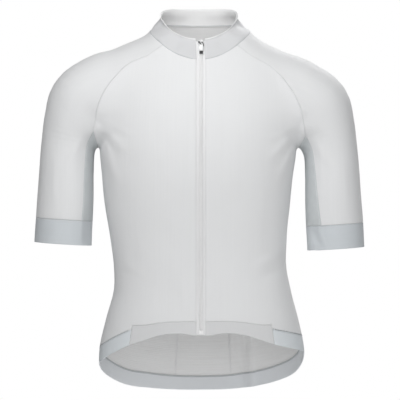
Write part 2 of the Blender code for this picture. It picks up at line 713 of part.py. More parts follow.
def make_side(side):
    """Front, sleeve, under-sleeve, cuff and front hem piece of one side. Returns the lines others need."""
    word = "left" if side > 0 else "right"
    seam_front, seam_back = raglan_line(side, -1), raglan_line(side, 1)
    flank = side_line(side)

    hem_angles, grip_angles = front_columns()
    hem_top = hem_line(hem_angles, side, "front_band")
    grip_top = hem_line(grip_angles, side, "grip_band")
    grip_top[-1] = flank[0]
    low = hem_top[0][2]
    edge, fold = zip_lines(side, low)
    fold[0] = hem_top[0]
    edge[0][2] = fold[0][2]
    edge[0] = cast(edge[0][0], edge[0][2], -1)

    columns = len(hem_top) + len(grip_top) - 1
    start = math.asin(side * fold[-1][0] / NECK_HALF_WIDTH)
    top_angles = start + (FRONT_SEAM_ANGLE - start) * even(columns)
    top = neckline(side * top_angles)
    top[0], top[-1] = fold[-1], seam_front[-1]
    outer_edge = np.concatenate([flank, seam_front[1:]])
    panel = weave(fold, outer_edge, np.concatenate([hem_top, grip_top]), top)
    panel = np.concatenate([edge[:, None], panel], axis=1)
    outer_side = "right" if side > 0 else "left"
    cloth(f"front_{word}", left_to_right(panel, side), WHITE_KNIT, f"bottom top {outer_side}")

    hem_low = hem_line(hem_angles, side)
    hem_edge = cast(edge[0][0], hem_line(np.array([ZIP_EDGE_ANGLE]), side)[0][2], -1)
    band_top = np.concatenate([[edge[0]], hem_top])
    band_low = np.concatenate([[hem_edge], hem_low])
    band = project(band_low + (band_top - band_low) * even(ROWS_BAND)[:, None, None])
    band[-1] = band_top
    cloth(f"front_hem_{word}", left_to_right(band, side), WHITE_KNIT, "top", BAND_WALL)

    under_front = under_line(side, -1, seam_front[ROWS_UNDER])
    under_back = under_line(side, 1, seam_back[ROWS_UNDER])
    sleeve_front = np.concatenate([under_front, seam_front[ROWS_UNDER + 1:]])
    sleeve_back = np.concatenate([under_back, seam_back[ROWS_UNDER + 1:]])
    rows = len(sleeve_front)
    neck_angles = np.linspace(FRONT_SEAM_ANGLE, BACK_SEAM_ANGLE, COLUMNS_SLEEVE + 1)
    sleeve_top = neckline(side * neck_angles)
    sleeve_top[0], sleeve_top[-1] = seam_front[-1], seam_back[-1]
    ridge_low = arm_point(side, np.array([math.pi]), np.array([CUFF_SEAM]))
    ridge = ridge_line(side, ridge_low[0], sleeve_top[COLUMNS_SLEEVE // 2], rows)
    first_angle = math.radians((UNDER_FRONT if side > 0 else UNDER_FRONT_RIGHT)[1])
    last_angle = 2 * math.pi - math.radians(UNDER_BACK[1])
    around = np.linspace(first_angle, last_angle, COLUMNS_SLEEVE + 1)
    cuff_outer = arm_point(side, around, np.full(len(around), CUFF_SEAM))
    cuff_outer[0], cuff_outer[-1] = under_front[0], under_back[0]
    sleeve = weave(sleeve_front, sleeve_back, cuff_outer, sleeve_top, ridge)
    cloth(f"sleeve_{word}", left_to_right(sleeve, side), WHITE_KNIT, "bottom top left right")

    around = np.linspace(-math.radians(UNDER_BACK[1]), first_angle, 2 * ROWS_UNDER + 1)
    cuff_inner = arm_point(side, around, np.full(len(around), CUFF_SEAM))
    cuff_inner[0], cuff_inner[-1] = under_back[0], under_front[0]
    under_top = np.concatenate([seam_back[ROWS_UNDER:0:-1], seam_front[:ROWS_UNDER + 1]])
    inner_heights = np.linspace(CUFF_SEAM, UNDER_MIDDLE_TOP, 5)
    inner = np.concatenate([arm_point(side, 0 * inner_heights, inner_heights), [armpit_point(side)]])
    inner = stretch(inner, even(ROWS_ARM))
    under = weave(under_back, under_front, cuff_inner, under_top, inner)
    cloth(f"under_sleeve_{word}", left_to_right(under, side), GREY_MESH, "bottom top left right")

    ring_top = np.concatenate([cuff_outer[:-1], cuff_inner[:-1]])
    ring_low = ring_top + np.array([0.0, 0.0, CUFF_EDGE - CUFF_SEAM])
    ring = project(ring_low + (ring_top - ring_low) * even(ROWS_CUFF)[:, None, None])
    ring[-1] = ring_top
    cloth(f"cuff_{word}", left_to_right(ring, side), CUFF_ELASTIC, "top", CUFF_WALL, True)

    return {
        "flank": flank, "raglan_back": seam_back, "edge": edge, "fold": fold, "hem_edge": hem_edge,
        "grip": grip_angles, "front_neck": top_angles, "sleeve_neck": neck_angles, "hem_fold": hem_low[0],
    }


def ridge_line(side, low, top, points):
    """Outer ridge of a sleeve from the cuff over the shoulder to the neckline."""
    out, up = right_arm_shift(ARM_SECTIONS[:, 0]) if side < 0 else (0.0, 0.0)
    way = np.gradient(ARM_SECTIONS[:, [0, 2]], axis=0)
    way /= np.linalg.norm(way, axis=1)[:, None]
    across = ARM_SECTIONS[:, 0] + out - way[:, 1] * ARM_SECTIONS[:, 3]
    height = ARM_SECTIONS[:, 2] + up + way[:, 0] * ARM_SECTIONS[:, 3]
    chosen = (height > low[2] + RIDGE_MARGIN) & (across > NECK_HALF_WIDTH + RIDGE_MARGIN)
    rough = np.stack([side * across, ARM_SECTIONS[:, 1], height], axis=1)[chosen][::-1]
    return stretch(np.concatenate([[low], project(rough[::3]), [top]]), even(points - 1))


def make_back(left, right):
    """Back panel and the pockets on it. Returns the back's angles on the neckline."""
    angles = np.linspace(90.0, 180.0, COLUMNS_BACK // 2 + 1)
    half_left = hem_line(angles, 1, "grip_band")
    half_right = hem_line(angles, -1, "grip_band")
    half_left[0], half_right[0] = left["flank"][0], right["flank"][0]
    bottom = np.concatenate([half_left, half_right[-2::-1]])
    turn = np.linspace(BACK_SEAM_ANGLE, 2 * math.pi - BACK_SEAM_ANGLE, COLUMNS_BACK + 1)
    top = neckline(turn)
    top[0], top[-1] = left["raglan_back"][-1], right["raglan_back"][-1]
    edge_left = np.concatenate([left["flank"], left["raglan_back"][1:]])
    edge_right = np.concatenate([right["flank"], right["raglan_back"][1:]])
    panel = weave(edge_left, edge_right, bottom, top)
    cloth("back", panel, WHITE_KNIT, "bottom top left right")
    make_pockets(panel)
    return turn


def at_heights(panel, values, heights):
    """Values of a panel's points read at a height in each column."""
    found = []
    for column, height in enumerate(heights):
        rise = panel[:, column, 2]
        found.append([np.interp(height, rise, values[:, column, axis]) for axis in range(3)])
    return np.array(found)


def laid_on(panel, levels, thickness, name, finish, lift, seams=""):
    """Piece that lies on a panel, lifted clear of it. Each level has a height for each column."""
    away = outward(panel)
    base = inset(np.array([at_heights(panel, panel, level) for level in levels]), seams)
    out = np.array([at_heights(panel, away, level) for level in levels])
    inner = base + lift * out
    return wall(name, inner + thickness * out, inner, finish)


def pocket_levels(rise, top):
    """Heights of one column of the pocket panel: the back's own rows, then even steps up to the top edge."""
    whole = rise[rise < top - POCKET_STEP][:POCKET_ROWS]
    return np.concatenate([whole, np.linspace(whole[-1], top, POCKET_ROWS + 2 - len(whole))[1:]])


def make_pockets(panel):
    """Pocket panel over the lower back, and the elastic binding of its openings."""
    strip = panel[:, POCKET_SIDE:-POCKET_SIDE]
    columns = strip.transpose(1, 0, 2)
    across = np.array([np.interp(POCKET_TOP, column[:, 2], column[:, 0]) for column in columns])
    top = POCKET_TOP - POCKET_FALL * np.clip(np.abs(across) - POCKET_DIVIDER, 0, None)
    levels = np.stack([pocket_levels(*pair) for pair in zip(strip[:, :, 2].T, top)], axis=1)
    laid_on(strip, levels, CLOTH, "pocket_panel", POCKET_KNIT, SEAM_GAP, "bottom")
    bound = [top + SEAM_GAP, top + BINDING_HEIGHT]
    laid_on(strip, bound, BAND_WALL, "pocket_binding", CUFF_ELASTIC, BINDING_LIFT)


def make_grip(left, right):
    """Elastic gripper band round the sides and the back of the hem."""
    back_angles = np.linspace(90.0, 180.0, COLUMNS_BACK // 2 + 1)
    tops, lows = [], []
    for side, lines in ((1, left), (-1, right)):
        angles = np.concatenate([lines["grip"], back_angles[1:]])
        top, low = hem_line(angles, side, "grip_band"), hem_line(angles, side)
        top[len(lines["grip"]) - 1] = lines["flank"][0]
        tops.append(top)
        lows.append(low)
    top = np.concatenate([tops[0], tops[1][-2::-1]])
    low = np.concatenate([lows[0], lows[1][-2::-1]])
    band = project(low + (top - low) * even(ROWS_BAND)[:, None, None])
    band[-1] = top
    cloth("hem_gripper", band, GRIP_ELASTIC, "top", BAND_WALL)


def collar_grid(left, right, back_angles):
    """Points of the collar, from the wearer's left zip edge round the back to the right one."""
    edge = [math.asin((ZIP_X + s * ZIP_GAP) / NECK_HALF_WIDTH) * s for s in (1, -1)]
    to_back = left["front_neck"], left["sleeve_neck"][1:], back_angles[1:]
    around = np.concatenate([[edge[0]], *to_back, 2 * math.pi - back_to_zip(right, edge[1])])
    low = neckline(around)
    top_edge = [math.asin((ZIP_X + s * ZIP_GAP) / COLLAR_TOP_HALF_WIDTH) * s for s in (1, -1)]
    share = (around - around[0]) / (around[-1] - around[0])
    top_around = top_edge[0] + share * (2 * math.pi - top_edge[1] - top_edge[0])
    top_sizes = COLLAR_TOP_HALF_WIDTH, COLLAR_TOP_FRONT, COLLAR_TOP_BACK, COLLAR_TOP_HEIGHT
    high = ring_point(top_around, *top_sizes)
    high[:, 0] += COLLAR_LEAN
    rows = even(ROWS_COLLAR)[:, None, None]
    hollow = COLLAR_HOLLOW * np.abs(np.sin(around))[:, None] * low / np.linalg.norm(low, axis=1)[:, None]
    return low + (high - low) * rows - 4 * rows * (1 - rows) * hollow


def back_to_zip(right, edge):
    """Angles of the wearer's right side of the neckline, from the back raglan seam to the zip edge."""
    sleeve = right["sleeve_neck"][::-1][1:]
    front = right["front_neck"][::-1][1:]
    return np.concatenate([sleeve, front, [edge]])


def make_collar(left, right, back_angles):
    """Stand-up collar. Returns its points."""
    grid = collar_grid(left, right, back_angles)
    outer = inset(grid, "bottom")
    wall("collar", outer, outer - COLLAR_WALL * surface_normals(outer), COLLAR_KNIT)
    return grid


def make_tapes(left, right, collar):
    """Zip tapes with their closed chain, behind the edges of the fronts and the collar."""
    normals = surface_normals(collar)
    for side, lines, columns in ((1, left, (0, 1)), (-1, right, (-1, -2))):
        word = "left" if side > 0 else "right"
        edge, fold = lines["edge"], lines["fold"]
        lifts = np.array([TAPE_LIFT, BOX_LIFT, BOX_LIFT + SEAM_GAP])[:, None] * np.array([0.0, 0.0, 1.0])
        low_edge, low_fold = project(lines["hem_edge"] + lifts), project(lines["hem_fold"] + lifts)
        edge = np.concatenate([low_edge, edge, collar[1:, columns[0]]])
        fold = np.concatenate([low_fold, fold, collar[1:, columns[1]]])
        edge_out, fold_out = outward(edge), outward(fold)
        rows = ROWS_COLLAR
        edge_out[-rows:], fold_out[-rows:] = normals[1:, columns[0]], normals[1:, columns[1]]
        edge_out[-rows - 1] = (edge_out[-rows - 1] + normals[0, columns[0]]) / 2
        fold_out[-rows - 1] = (fold_out[-rows - 1] + normals[0, columns[1]]) / 2
        make_tape(f"zip_tape_{word}", side, edge, fold, edge_out, fold_out)


def make_tape(name, side, edge, fold, edge_out, fold_out):
    """One zip tape, from the chain's middle to its edge under the cloth."""
    chain = np.full(len(edge), SEAM_GAP / 2)
    chain[-2:] = SPREAD_HALF
    raised = np.where(np.arange(len(edge)) < 2, TAPE_DEPTH, CHAIN_DEPTH)[:, None]
    level = [CHAIN_HALF, CHAIN_HALF + CHAIN_STEP, ZIP_GAP - TAPE_CLEAR, TAPE_HALF]
    places = [chain] + [np.full(len(edge), place) for place in level]
    depths = [raised, raised, TAPE_DEPTH, TAPE_DEPTH, TAPE_DEPTH]
    outer, inner = [], []
    for place, depth in zip(places, depths):
        near = np.clip((place - ZIP_GAP) / (FRONT_FOLD - ZIP_GAP), 0, 1)[:, None]
        point = edge + (fold - edge) * near
        out = edge_out + (fold_out - edge_out) * near
        inside = place < ZIP_GAP
        point[inside, 0] = ZIP_X + side * place[inside]
        outer.append(point - depth * out)
        inner.append(point - (TAPE_DEPTH + TAPE_WALL) * out)
    outer, inner = np.stack(outer, axis=1), np.stack(inner, axis=1)
    wall(name, left_to_right(outer, side), left_to_right(inner, side), ZIP_TAPE)


def slider_place(collar):
    """Place and turn of the slider on the collar's front: across, up the zip, out."""
    share = (SLIDER_HEIGHT - collar[0, 0, 2]) / (collar[-1, 0, 2] - collar[0, 0, 2])
    low = (collar[0, 0] + collar[0, -1]) / 2
    high = (collar[-1, 0] + collar[-1, -1]) / 2
    spot = low + (high - low) * share
    low[0] = spot[0] = ZIP_X
    return standing_place(low, spot)


def make_slider(place):
    """Slider with its two plates, flanges, neck and crown. The pieces run into each other by a little."""
    half, long, chamfer = SLIDER_HALF, SLIDER_LONG / 2, PLATE_CHAMFER
    outline = [
        (-half, long - chamfer), (-half, -long + chamfer), (-half + chamfer, -long),
        (half - chamfer, -long), (half, -long + chamfer), (half, long - chamfer),
        (half - chamfer, long), (-half + chamfer, long),
    ]
    rear_outline = [(x * REAR_SCALE[0], y * REAR_SCALE[1]) for x, y in outline]
    flange = long - FLANGE_SHORTER
    shapes = [
        plate(outline, PLATE_LOW, PLATE_HIGH),
        box((-half, -flange, FLANGE_REAR), (-half + FLANGE_WALL, flange, RUN_IN)),
        box((half - FLANGE_WALL, -flange, FLANGE_REAR), (half, flange, RUN_IN)),
        box((-NECK_HALF, NECK_SPAN[0], REAR_PLATE[1] - RUN_IN), (NECK_HALF, NECK_SPAN[1], RUN_IN)),
        plate(rear_outline, *REAR_PLATE),
        box((-CROWN_HALF, CROWN_SPAN[0], PLATE_HIGH - RUN_IN), (CROWN_HALF, CROWN_SPAN[1], CROWN_TOP)),
    ]
    window_top = CROWN_TOP - FLANGE_WALL
    window = box((-half, WINDOW_SPAN[0], PLATE_HIGH), (half, WINDOW_SPAN[1], window_top))
    fused("zip_slider", shapes, [window], ZIP_METAL, place)


def oval(half, low, high, corner):
    """Outline with round corners, from low to high."""
    points = []
    for centre_x, centre_y, start in (
        (half - corner, high - corner, 0), (corner - half, high - corner, 90),
        (corner - half, low + corner, 180), (half - corner, low + corner, 270),
    ):
        for turn in range(0, 91, 18):
            angle = math.radians(start + turn)
            points.append((centre_x + corner * math.cos(angle), centre_y + corner * math.sin(angle)))
    return points


def make_pull(place):
    """Pull tab that hangs from the slider's crown, with its dark tip. Its origin is on the hinge."""
    pivot = place @ Matrix.Translation((0, 0, PIVOT_OUT))
    arm = BAR_RADIUS * EYE_THINNER
    arms = [
        box((EYE_HALF, -EYE_LONG, -arm), (EYE_OUTER, 0.0, arm)),
        box((-EYE_OUTER, -EYE_LONG, -arm), (-EYE_HALF, 0.0, arm)),
    ]
    tab = plate(oval(PULL_HALF, -PULL_END, -EYE_END, PULL_CORNER), -BAR_RADIUS, BAR_RADIUS)
    axle = bar(BAR_RADIUS, -EYE_OUTER - AXLE_PROUD, EYE_OUTER + AXLE_PROUD, 0.0)
    fused("zip_pull", [tab, axle] + arms, [], PULL_WHITE, pivot)
    tip = plate(oval(TIP_HALF, -TIP_END, -PULL_END - SEAM_GAP, TIP_CORNER), -BAR_RADIUS, BAR_RADIUS)
    mesh = bpy.data.meshes.new("zip_pull_tip")
    tip.to_mesh(mesh)
    tip.free()
    add_object("zip_pull_tip", mesh, PULL_BLACK, pivot)


def standing_place(low, high):
    """Place at the high point, turned so that local Y runs up from the low point and local Z faces out."""
    across = Vector((1.0, 0.0, 0.0))
    up = Vector((0.0, high[1] - low[1], high[2] - low[2])).normalized()
    turn = Matrix((across, up, across.cross(up))).transposed()
    return Matrix.Translation(Vector(high)) @ turn.to_4x4()


def make_box(left, right):
    """Box on the tapes' lower end, just below the chain."""
    width, depth, height = BOX_SIZE
    low = (left["hem_edge"] + right["hem_edge"]) / 2
    high = project([low + np.array([0.0, 0.0, BOX_LIFT])])[0]
    low[0] = high[0] = ZIP_X
    rear = SEAM_GAP - TAPE_DEPTH
    shape = box((-width / 2, -height, rear), (width / 2, 0.0, rear + depth))
    bmesh.ops.bevel(shape, geom=list(shape.edges), offset=BOX_BEVEL, segments=2, profile=0.5, affect="EDGES")
    mesh = bpy.data.meshes.new("zip_box")
    shape.to_mesh(mesh)
    shape.free()
    add_object("zip_box", mesh, ZIP_PLASTIC, standing_place(low, high))


LEFT = make_side(1)
RIGHT = make_side(-1)
COLLAR = make_collar(LEFT, RIGHT, make_back(LEFT, RIGHT))
make_grip(LEFT, RIGHT)
make_tapes(LEFT, RIGHT, COLLAR)
SLIDER = slider_place(COLLAR)
make_slider(SLIDER)
make_pull(SLIDER)
make_box(LEFT, RIGHT)
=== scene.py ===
"""Looks of a short-sleeved raglan cycling jersey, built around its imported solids.

Each panel of cloth is a fine shell on the same smooth form as its solid: a stack of rounded trunk sections
joined softly to two arm tubes. Seams, sewing, zip teeth and the slider are modelled on top. Metres, +Z up. The
front faces -Y and the wearer's left arm is at +X.
"""

import logging
import math
from collections.abc import Sequence
from dataclasses import dataclass, field
from enum import Enum

import bmesh
import bpy
import numpy as np
from mathutils import Matrix, Vector


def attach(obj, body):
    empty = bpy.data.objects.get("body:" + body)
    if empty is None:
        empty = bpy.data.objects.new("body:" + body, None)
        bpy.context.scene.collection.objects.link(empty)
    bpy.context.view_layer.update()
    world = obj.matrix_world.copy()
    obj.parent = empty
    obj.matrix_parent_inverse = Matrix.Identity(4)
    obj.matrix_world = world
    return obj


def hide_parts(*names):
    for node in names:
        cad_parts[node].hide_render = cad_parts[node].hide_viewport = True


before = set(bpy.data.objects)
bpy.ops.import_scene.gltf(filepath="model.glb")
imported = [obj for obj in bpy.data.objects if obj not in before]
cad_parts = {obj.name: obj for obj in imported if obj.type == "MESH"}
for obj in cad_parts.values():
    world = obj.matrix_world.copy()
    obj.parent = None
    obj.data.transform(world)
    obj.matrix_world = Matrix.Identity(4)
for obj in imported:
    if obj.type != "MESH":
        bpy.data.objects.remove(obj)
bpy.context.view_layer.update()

LOG = logging.getLogger("jersey")

Points = np.ndarray
Columns = dict[str, np.ndarray]
Socket = bpy.types.NodeSocket
Shape = bmesh.types.BMesh
Pair = tuple[float, float]
Triple = tuple[float, float, float]
Blocks = tuple[tuple[Triple, Triple, float], ...]


def table(names: str, *rows: tuple[float, ...]) -> Columns:
    """Names the columns of a short table.

    Args:
        names: The columns' names, parted by spaces.
        rows: The table's rows, a number for each column.

    Returns:
        Each column's numbers by its name.
    """
    return {name: np.array(column, dtype=float) for name, column in zip(names.split(), zip(*rows))}


# Walls and gaps, as in the solids
CLOTH = 0.0012
CUFF_WALL = 0.0014
COLLAR_WALL = 0.0016
BAND_WALL = 0.0014
SEAM_GAP = 0.0003

TRUNK = table(
    "height half_width front back lean",
    (-0.66, 0.1785, 0.116, 0.117, 0.0026),
    (-0.6, 0.1785, 0.116, 0.115, 0.0026),
    (-0.54, 0.1785, 0.113, 0.11, 0.0032),
    (-0.49, 0.1675, 0.108, 0.103, 0.0036),
    (-0.44, 0.1545, 0.103, 0.095, 0.0038),
    (-0.4, 0.1505, 0.102, 0.092, 0.0002),
    (-0.35, 0.154, 0.105, 0.096, -0.0026),
    (-0.3, 0.1605, 0.111, 0.104, -0.0045),
    (-0.24, 0.167, 0.118, 0.115, -0.0045),
    (-0.19, 0.1715, 0.118, 0.121, -0.0028),
    (-0.15, 0.168, 0.113, 0.121, 0.0),
    (-0.11, 0.158, 0.102, 0.117, 0.0),
    (-0.07, 0.136, 0.085, 0.108, 0.0),
    (-0.04, 0.112, 0.0695, 0.098, 0.0),
    (0.0, 0.087, 0.058, 0.08, 0.0),
    (0.026, 0.076, 0.052, 0.0655, 0.0),
    (0.06, 0.064, 0.046, 0.056, 0.0),
)
ARM = table(
    "across forward height radius depth",
    (0.03, 0.006, -0.052, 0.07, 1.0),
    (0.0575, 0.006, -0.062, 0.07, 1.0),
    (0.122, 0.006, -0.087, 0.068, 1.0),
    (0.173, 0.006, -0.106, 0.067, 1.02),
    (0.199, 0.005, -0.121, 0.0632, 1.06),
    (0.214, 0.004, -0.15, 0.056, 1.12),
    (0.227, 0.002, -0.19, 0.048, 1.16),
    (0.2315, 0.0, -0.24, 0.0475, 1.16),
    (0.233, -0.002, -0.2835, 0.049, 1.13),
    (0.237, -0.004, -0.36, 0.05, 1.1),
    (0.239, -0.005, -0.42, 0.05, 1.1),
)
JOIN = table(
    "height softness",
    (-0.7, 0.008),
    (-0.26, 0.008),
    (-0.21, 0.012),
    (-0.1925, 0.018),
    (-0.18, 0.04),
    (-0.165, 0.068),
    (-0.14, 0.072),
    (-0.11, 0.062),
    (-0.05, 0.05),
    (0.1, 0.04),
)

# Soft ridges of the cloth from a start to an end, on the front (-1) or the back (+1). The bow bends a ridge
# sideways at its middle. The first 13 are the large folds, which the solids have too. The others are finer.
RIDGES = table(
    "x0 z0 x1 z1 face width rise bow",
    (0.172, -0.16, 0.112, -0.222, -1, 0.0085, 0.0024, 0.0),
    (0.166, -0.186, 0.128, -0.262, -1, 0.008, 0.002, 0.0),
    (-0.176, -0.152, -0.12, -0.206, -1, 0.0085, 0.0022, 0.0),
    (-0.17, -0.18, -0.136, -0.266, -1, 0.008, 0.0022, 0.0),
    (0.19, -0.168, 0.226, -0.232, -1, 0.007, 0.0018, 0.0),
    (-0.195, -0.16, -0.23, -0.226, -1, 0.007, 0.0018, 0.0),
    (0.148, -0.372, 0.082, -0.404, -1, 0.009, 0.0018, 0.0),
    (-0.148, -0.384, -0.092, -0.412, -1, 0.01, 0.0009, 0.0),
    (0.17, -0.168, 0.108, -0.236, 1, 0.009, 0.0026, 0.0),
    (-0.174, -0.16, -0.116, -0.24, 1, 0.009, 0.0024, 0.0),
    (0.14, -0.338, 0.02, -0.362, 1, 0.011, 0.0026, 0.0),
    (-0.142, -0.352, -0.012, -0.378, 1, 0.011, 0.0026, 0.0),
    (0.12, -0.396, -0.04, -0.41, 1, 0.01, 0.002, 0.0),
    (0.176, -0.176, 0.14, -0.236, -1, 0.004, 0.0009, 0.004),
    (0.17, -0.15, 0.098, -0.186, -1, 0.0055, 0.0008, -0.005),
    (-0.176, -0.168, -0.146, -0.232, -1, 0.004, 0.0009, -0.004),
    (-0.168, -0.142, -0.104, -0.176, -1, 0.0055, 0.0008, 0.004),
    (0.208, -0.186, 0.214, -0.262, -1, 0.0045, 0.0008, 0.003),
    (0.246, -0.214, 0.252, -0.312, -1, 0.005, 0.0006, -0.003),
    (-0.206, -0.178, -0.216, -0.25, -1, 0.0045, 0.0008, 0.003),
    (-0.25, -0.206, -0.248, -0.306, -1, 0.005, 0.0006, 0.003),
    (0.152, -0.4, 0.096, -0.426, -1, 0.006, -0.0009, 0.004),
    (-0.15, -0.396, -0.086, -0.432, -1, 0.007, -0.0004, -0.004),
    (0.03, -0.396, 0.036, -0.476, -1, 0.006, 0.0006, 0.004),
    (-0.034, -0.41, -0.03, -0.484, -1, 0.0055, 0.0007, -0.003),
    (0.07, -0.436, 0.078, -0.492, -1, 0.006, 0.0006, 0.002),
    (-0.072, -0.43, -0.084, -0.49, -1, 0.006, 0.0006, 0.003),
    (0.166, -0.19, 0.112, -0.274, 1, 0.006, 0.001, 0.006),
    (-0.168, -0.186, -0.108, -0.262, 1, 0.006, 0.001, -0.006),
    (0.124, -0.318, 0.03, -0.338, 1, 0.007, 0.001, 0.004),
    (-0.118, -0.322, -0.004, -0.346, 1, 0.007, 0.001, -0.004),
    (0.14, -0.37, 0.07, -0.388, 1, 0.006, 0.0009, 0.002),
    (-0.136, -0.386, -0.06, -0.4, 1, 0.006, 0.0009, -0.003),
    (0.044, -0.06, 0.06, -0.13, 1, 0.012, 0.0009, 0.004),
    (-0.046, -0.058, -0.058, -0.14, 1, 0.012, 0.0009, -0.005),
    (0.21, -0.18, 0.222, -0.256, 1, 0.005, 0.0009, 0.003),
    (-0.214, -0.174, -0.22, -0.25, 1, 0.005, 0.0009, -0.003),
    (0.236, -0.3, 0.226, -0.33, -1, 0.004, 0.0005, 0.001),
    (-0.23, -0.296, -0.242, -0.322, -1, 0.004, 0.0005, 0.001),
    (0.194, -0.31, 0.208, -0.374, -1, 0.008, -0.003, 0.002),
    (0.203, -0.322, 0.219, -0.372, -1, 0.0035, 0.0012, 0.002),
    (-0.196, -0.306, -0.196, -0.372, -1, 0.0075, -0.003, 0.0),
    (-0.2045, -0.312, -0.2045, -0.372, -1, 0.003, 0.0012, 0.0),
    (0.19, -0.3345, 0.206, -0.329, -1, 0.0016, 0.0005, 0.0),
    (0.076, -0.74, 0.072, -0.4, 1, 0.011, 0.006, 0.003),
    (0.0915, -0.74, 0.0875, -0.4, 1, 0.0065, -0.0042, 0.003),
    (-0.1, -0.63, -0.096, -0.47, 1, 0.012, 0.0012, -0.003),
)
RAGLAN = table(
    "front_x front_z back_x back_z",
    (0.182, -0.173, 0.182, -0.173),
    (0.1792, -0.158, 0.1805, -0.158),
    (0.1757, -0.137, 0.178, -0.136),
    (0.1697, -0.118, 0.173, -0.113),
    (0.1585, -0.096, 0.163, -0.088),
    (0.141, -0.0725, 0.148, -0.063),
    (0.118, -0.0515, 0.127, -0.038),
    (0.09, -0.0365, 0.098, -0.012),
)
HEM = table(
    "angle left_edge right_edge front_band grip_band",
    (0, -0.5145, -0.5145, 0.0245, 0.0245),
    (7, -0.5135, -0.5135, 0.0238, 0.0238),
    (14, -0.5105, -0.511, 0.021, 0.021),
    (35, -0.513, -0.5135, 0.0215, 0.023),
    (47, -0.5225, -0.5235, 0.0265, 0.025),
    (55, -0.53, -0.531, 0.033, 0.0262),
    (65, -0.5365, -0.544, 0.033, 0.027),
    (77, -0.544, -0.56, 0.033, 0.028),
    (90, -0.553, -0.572, 0.033, 0.03),
    (98, -0.571, -0.583, 0.033, 0.0295),
    (107, -0.5895, -0.596, 0.033, 0.0285),
    (122, -0.608, -0.6145, 0.033, 0.027),
    (138, -0.6195, -0.622, 0.033, 0.026),
    (160, -0.6256, -0.6262, 0.033, 0.0245),
    (180, -0.6266, -0.6266, 0.033, 0.024),
)


class Side(Enum):
    """Side of the wearer that a piece is on, as the sign of its X."""

    LEFT = 1
    RIGHT = -1

    @property
    def word(self) -> str:
        """The side's name in a piece's name."""
        return self.name.lower()


class Face(Enum):
    """Front or back of the jersey, as the sign of its Y."""

    FRONT = -1
    BACK = 1


# ---- form


def distances(line: Points) -> Points:
    """Distance along a line at each of its points, or along each line of several."""
    steps = np.linalg.norm(np.diff(line, axis=-2), axis=-1)
    return np.concatenate([np.zeros(steps.shape[:-1] + (1,)), np.cumsum(steps, axis=-1)], axis=-1)


def curve(value: Points, places: Points, levels: Points) -> Points:
    """Reads a smooth curve through levels at given places.

    Args:
        value: Where the curve is read.
        places: The places of the levels, in rising order.
        levels: The curve's values there.

    Returns:
        The curve's value at each place read.
    """
    step = np.diff(places)
    slope = np.diff(levels) / step
    tangent = np.empty(len(places))
    tangent[0], tangent[-1] = slope[0], slope[-1]
    tangent[1:-1] = (slope[:-1] * step[1:] + slope[1:] * step[:-1]) / (step[:-1] + step[1:])
    value = np.clip(value, places[0], places[-1])
    cell = np.clip(np.searchsorted(places, value, side="right") - 1, 0, len(step) - 1)
    t = (value - places[cell]) / step[cell]
    ends = (1 + 2 * t) * (1 - t) ** 2 * levels[cell] + t * t * (3 - 2 * t) * levels[cell + 1]
    pulls = t * (1 - t) ** 2 * tangent[cell] + t * t * (t - 1) * tangent[cell + 1]
    return ends + step[cell] * pulls


def smoothstep(value: Points, low: float, high: float) -> Points:
    """Soft step from 0 at low to 1 at high."""
    t = np.clip((value - low) / (high - low), 0, 1)
    return t * t * (3 - 2 * t)


def unit(vectors: Points) -> Points:
    """The same directions with a length of one."""
    return vectors / np.maximum(np.linalg.norm(vectors, axis=-1, keepdims=True), 1e-12)


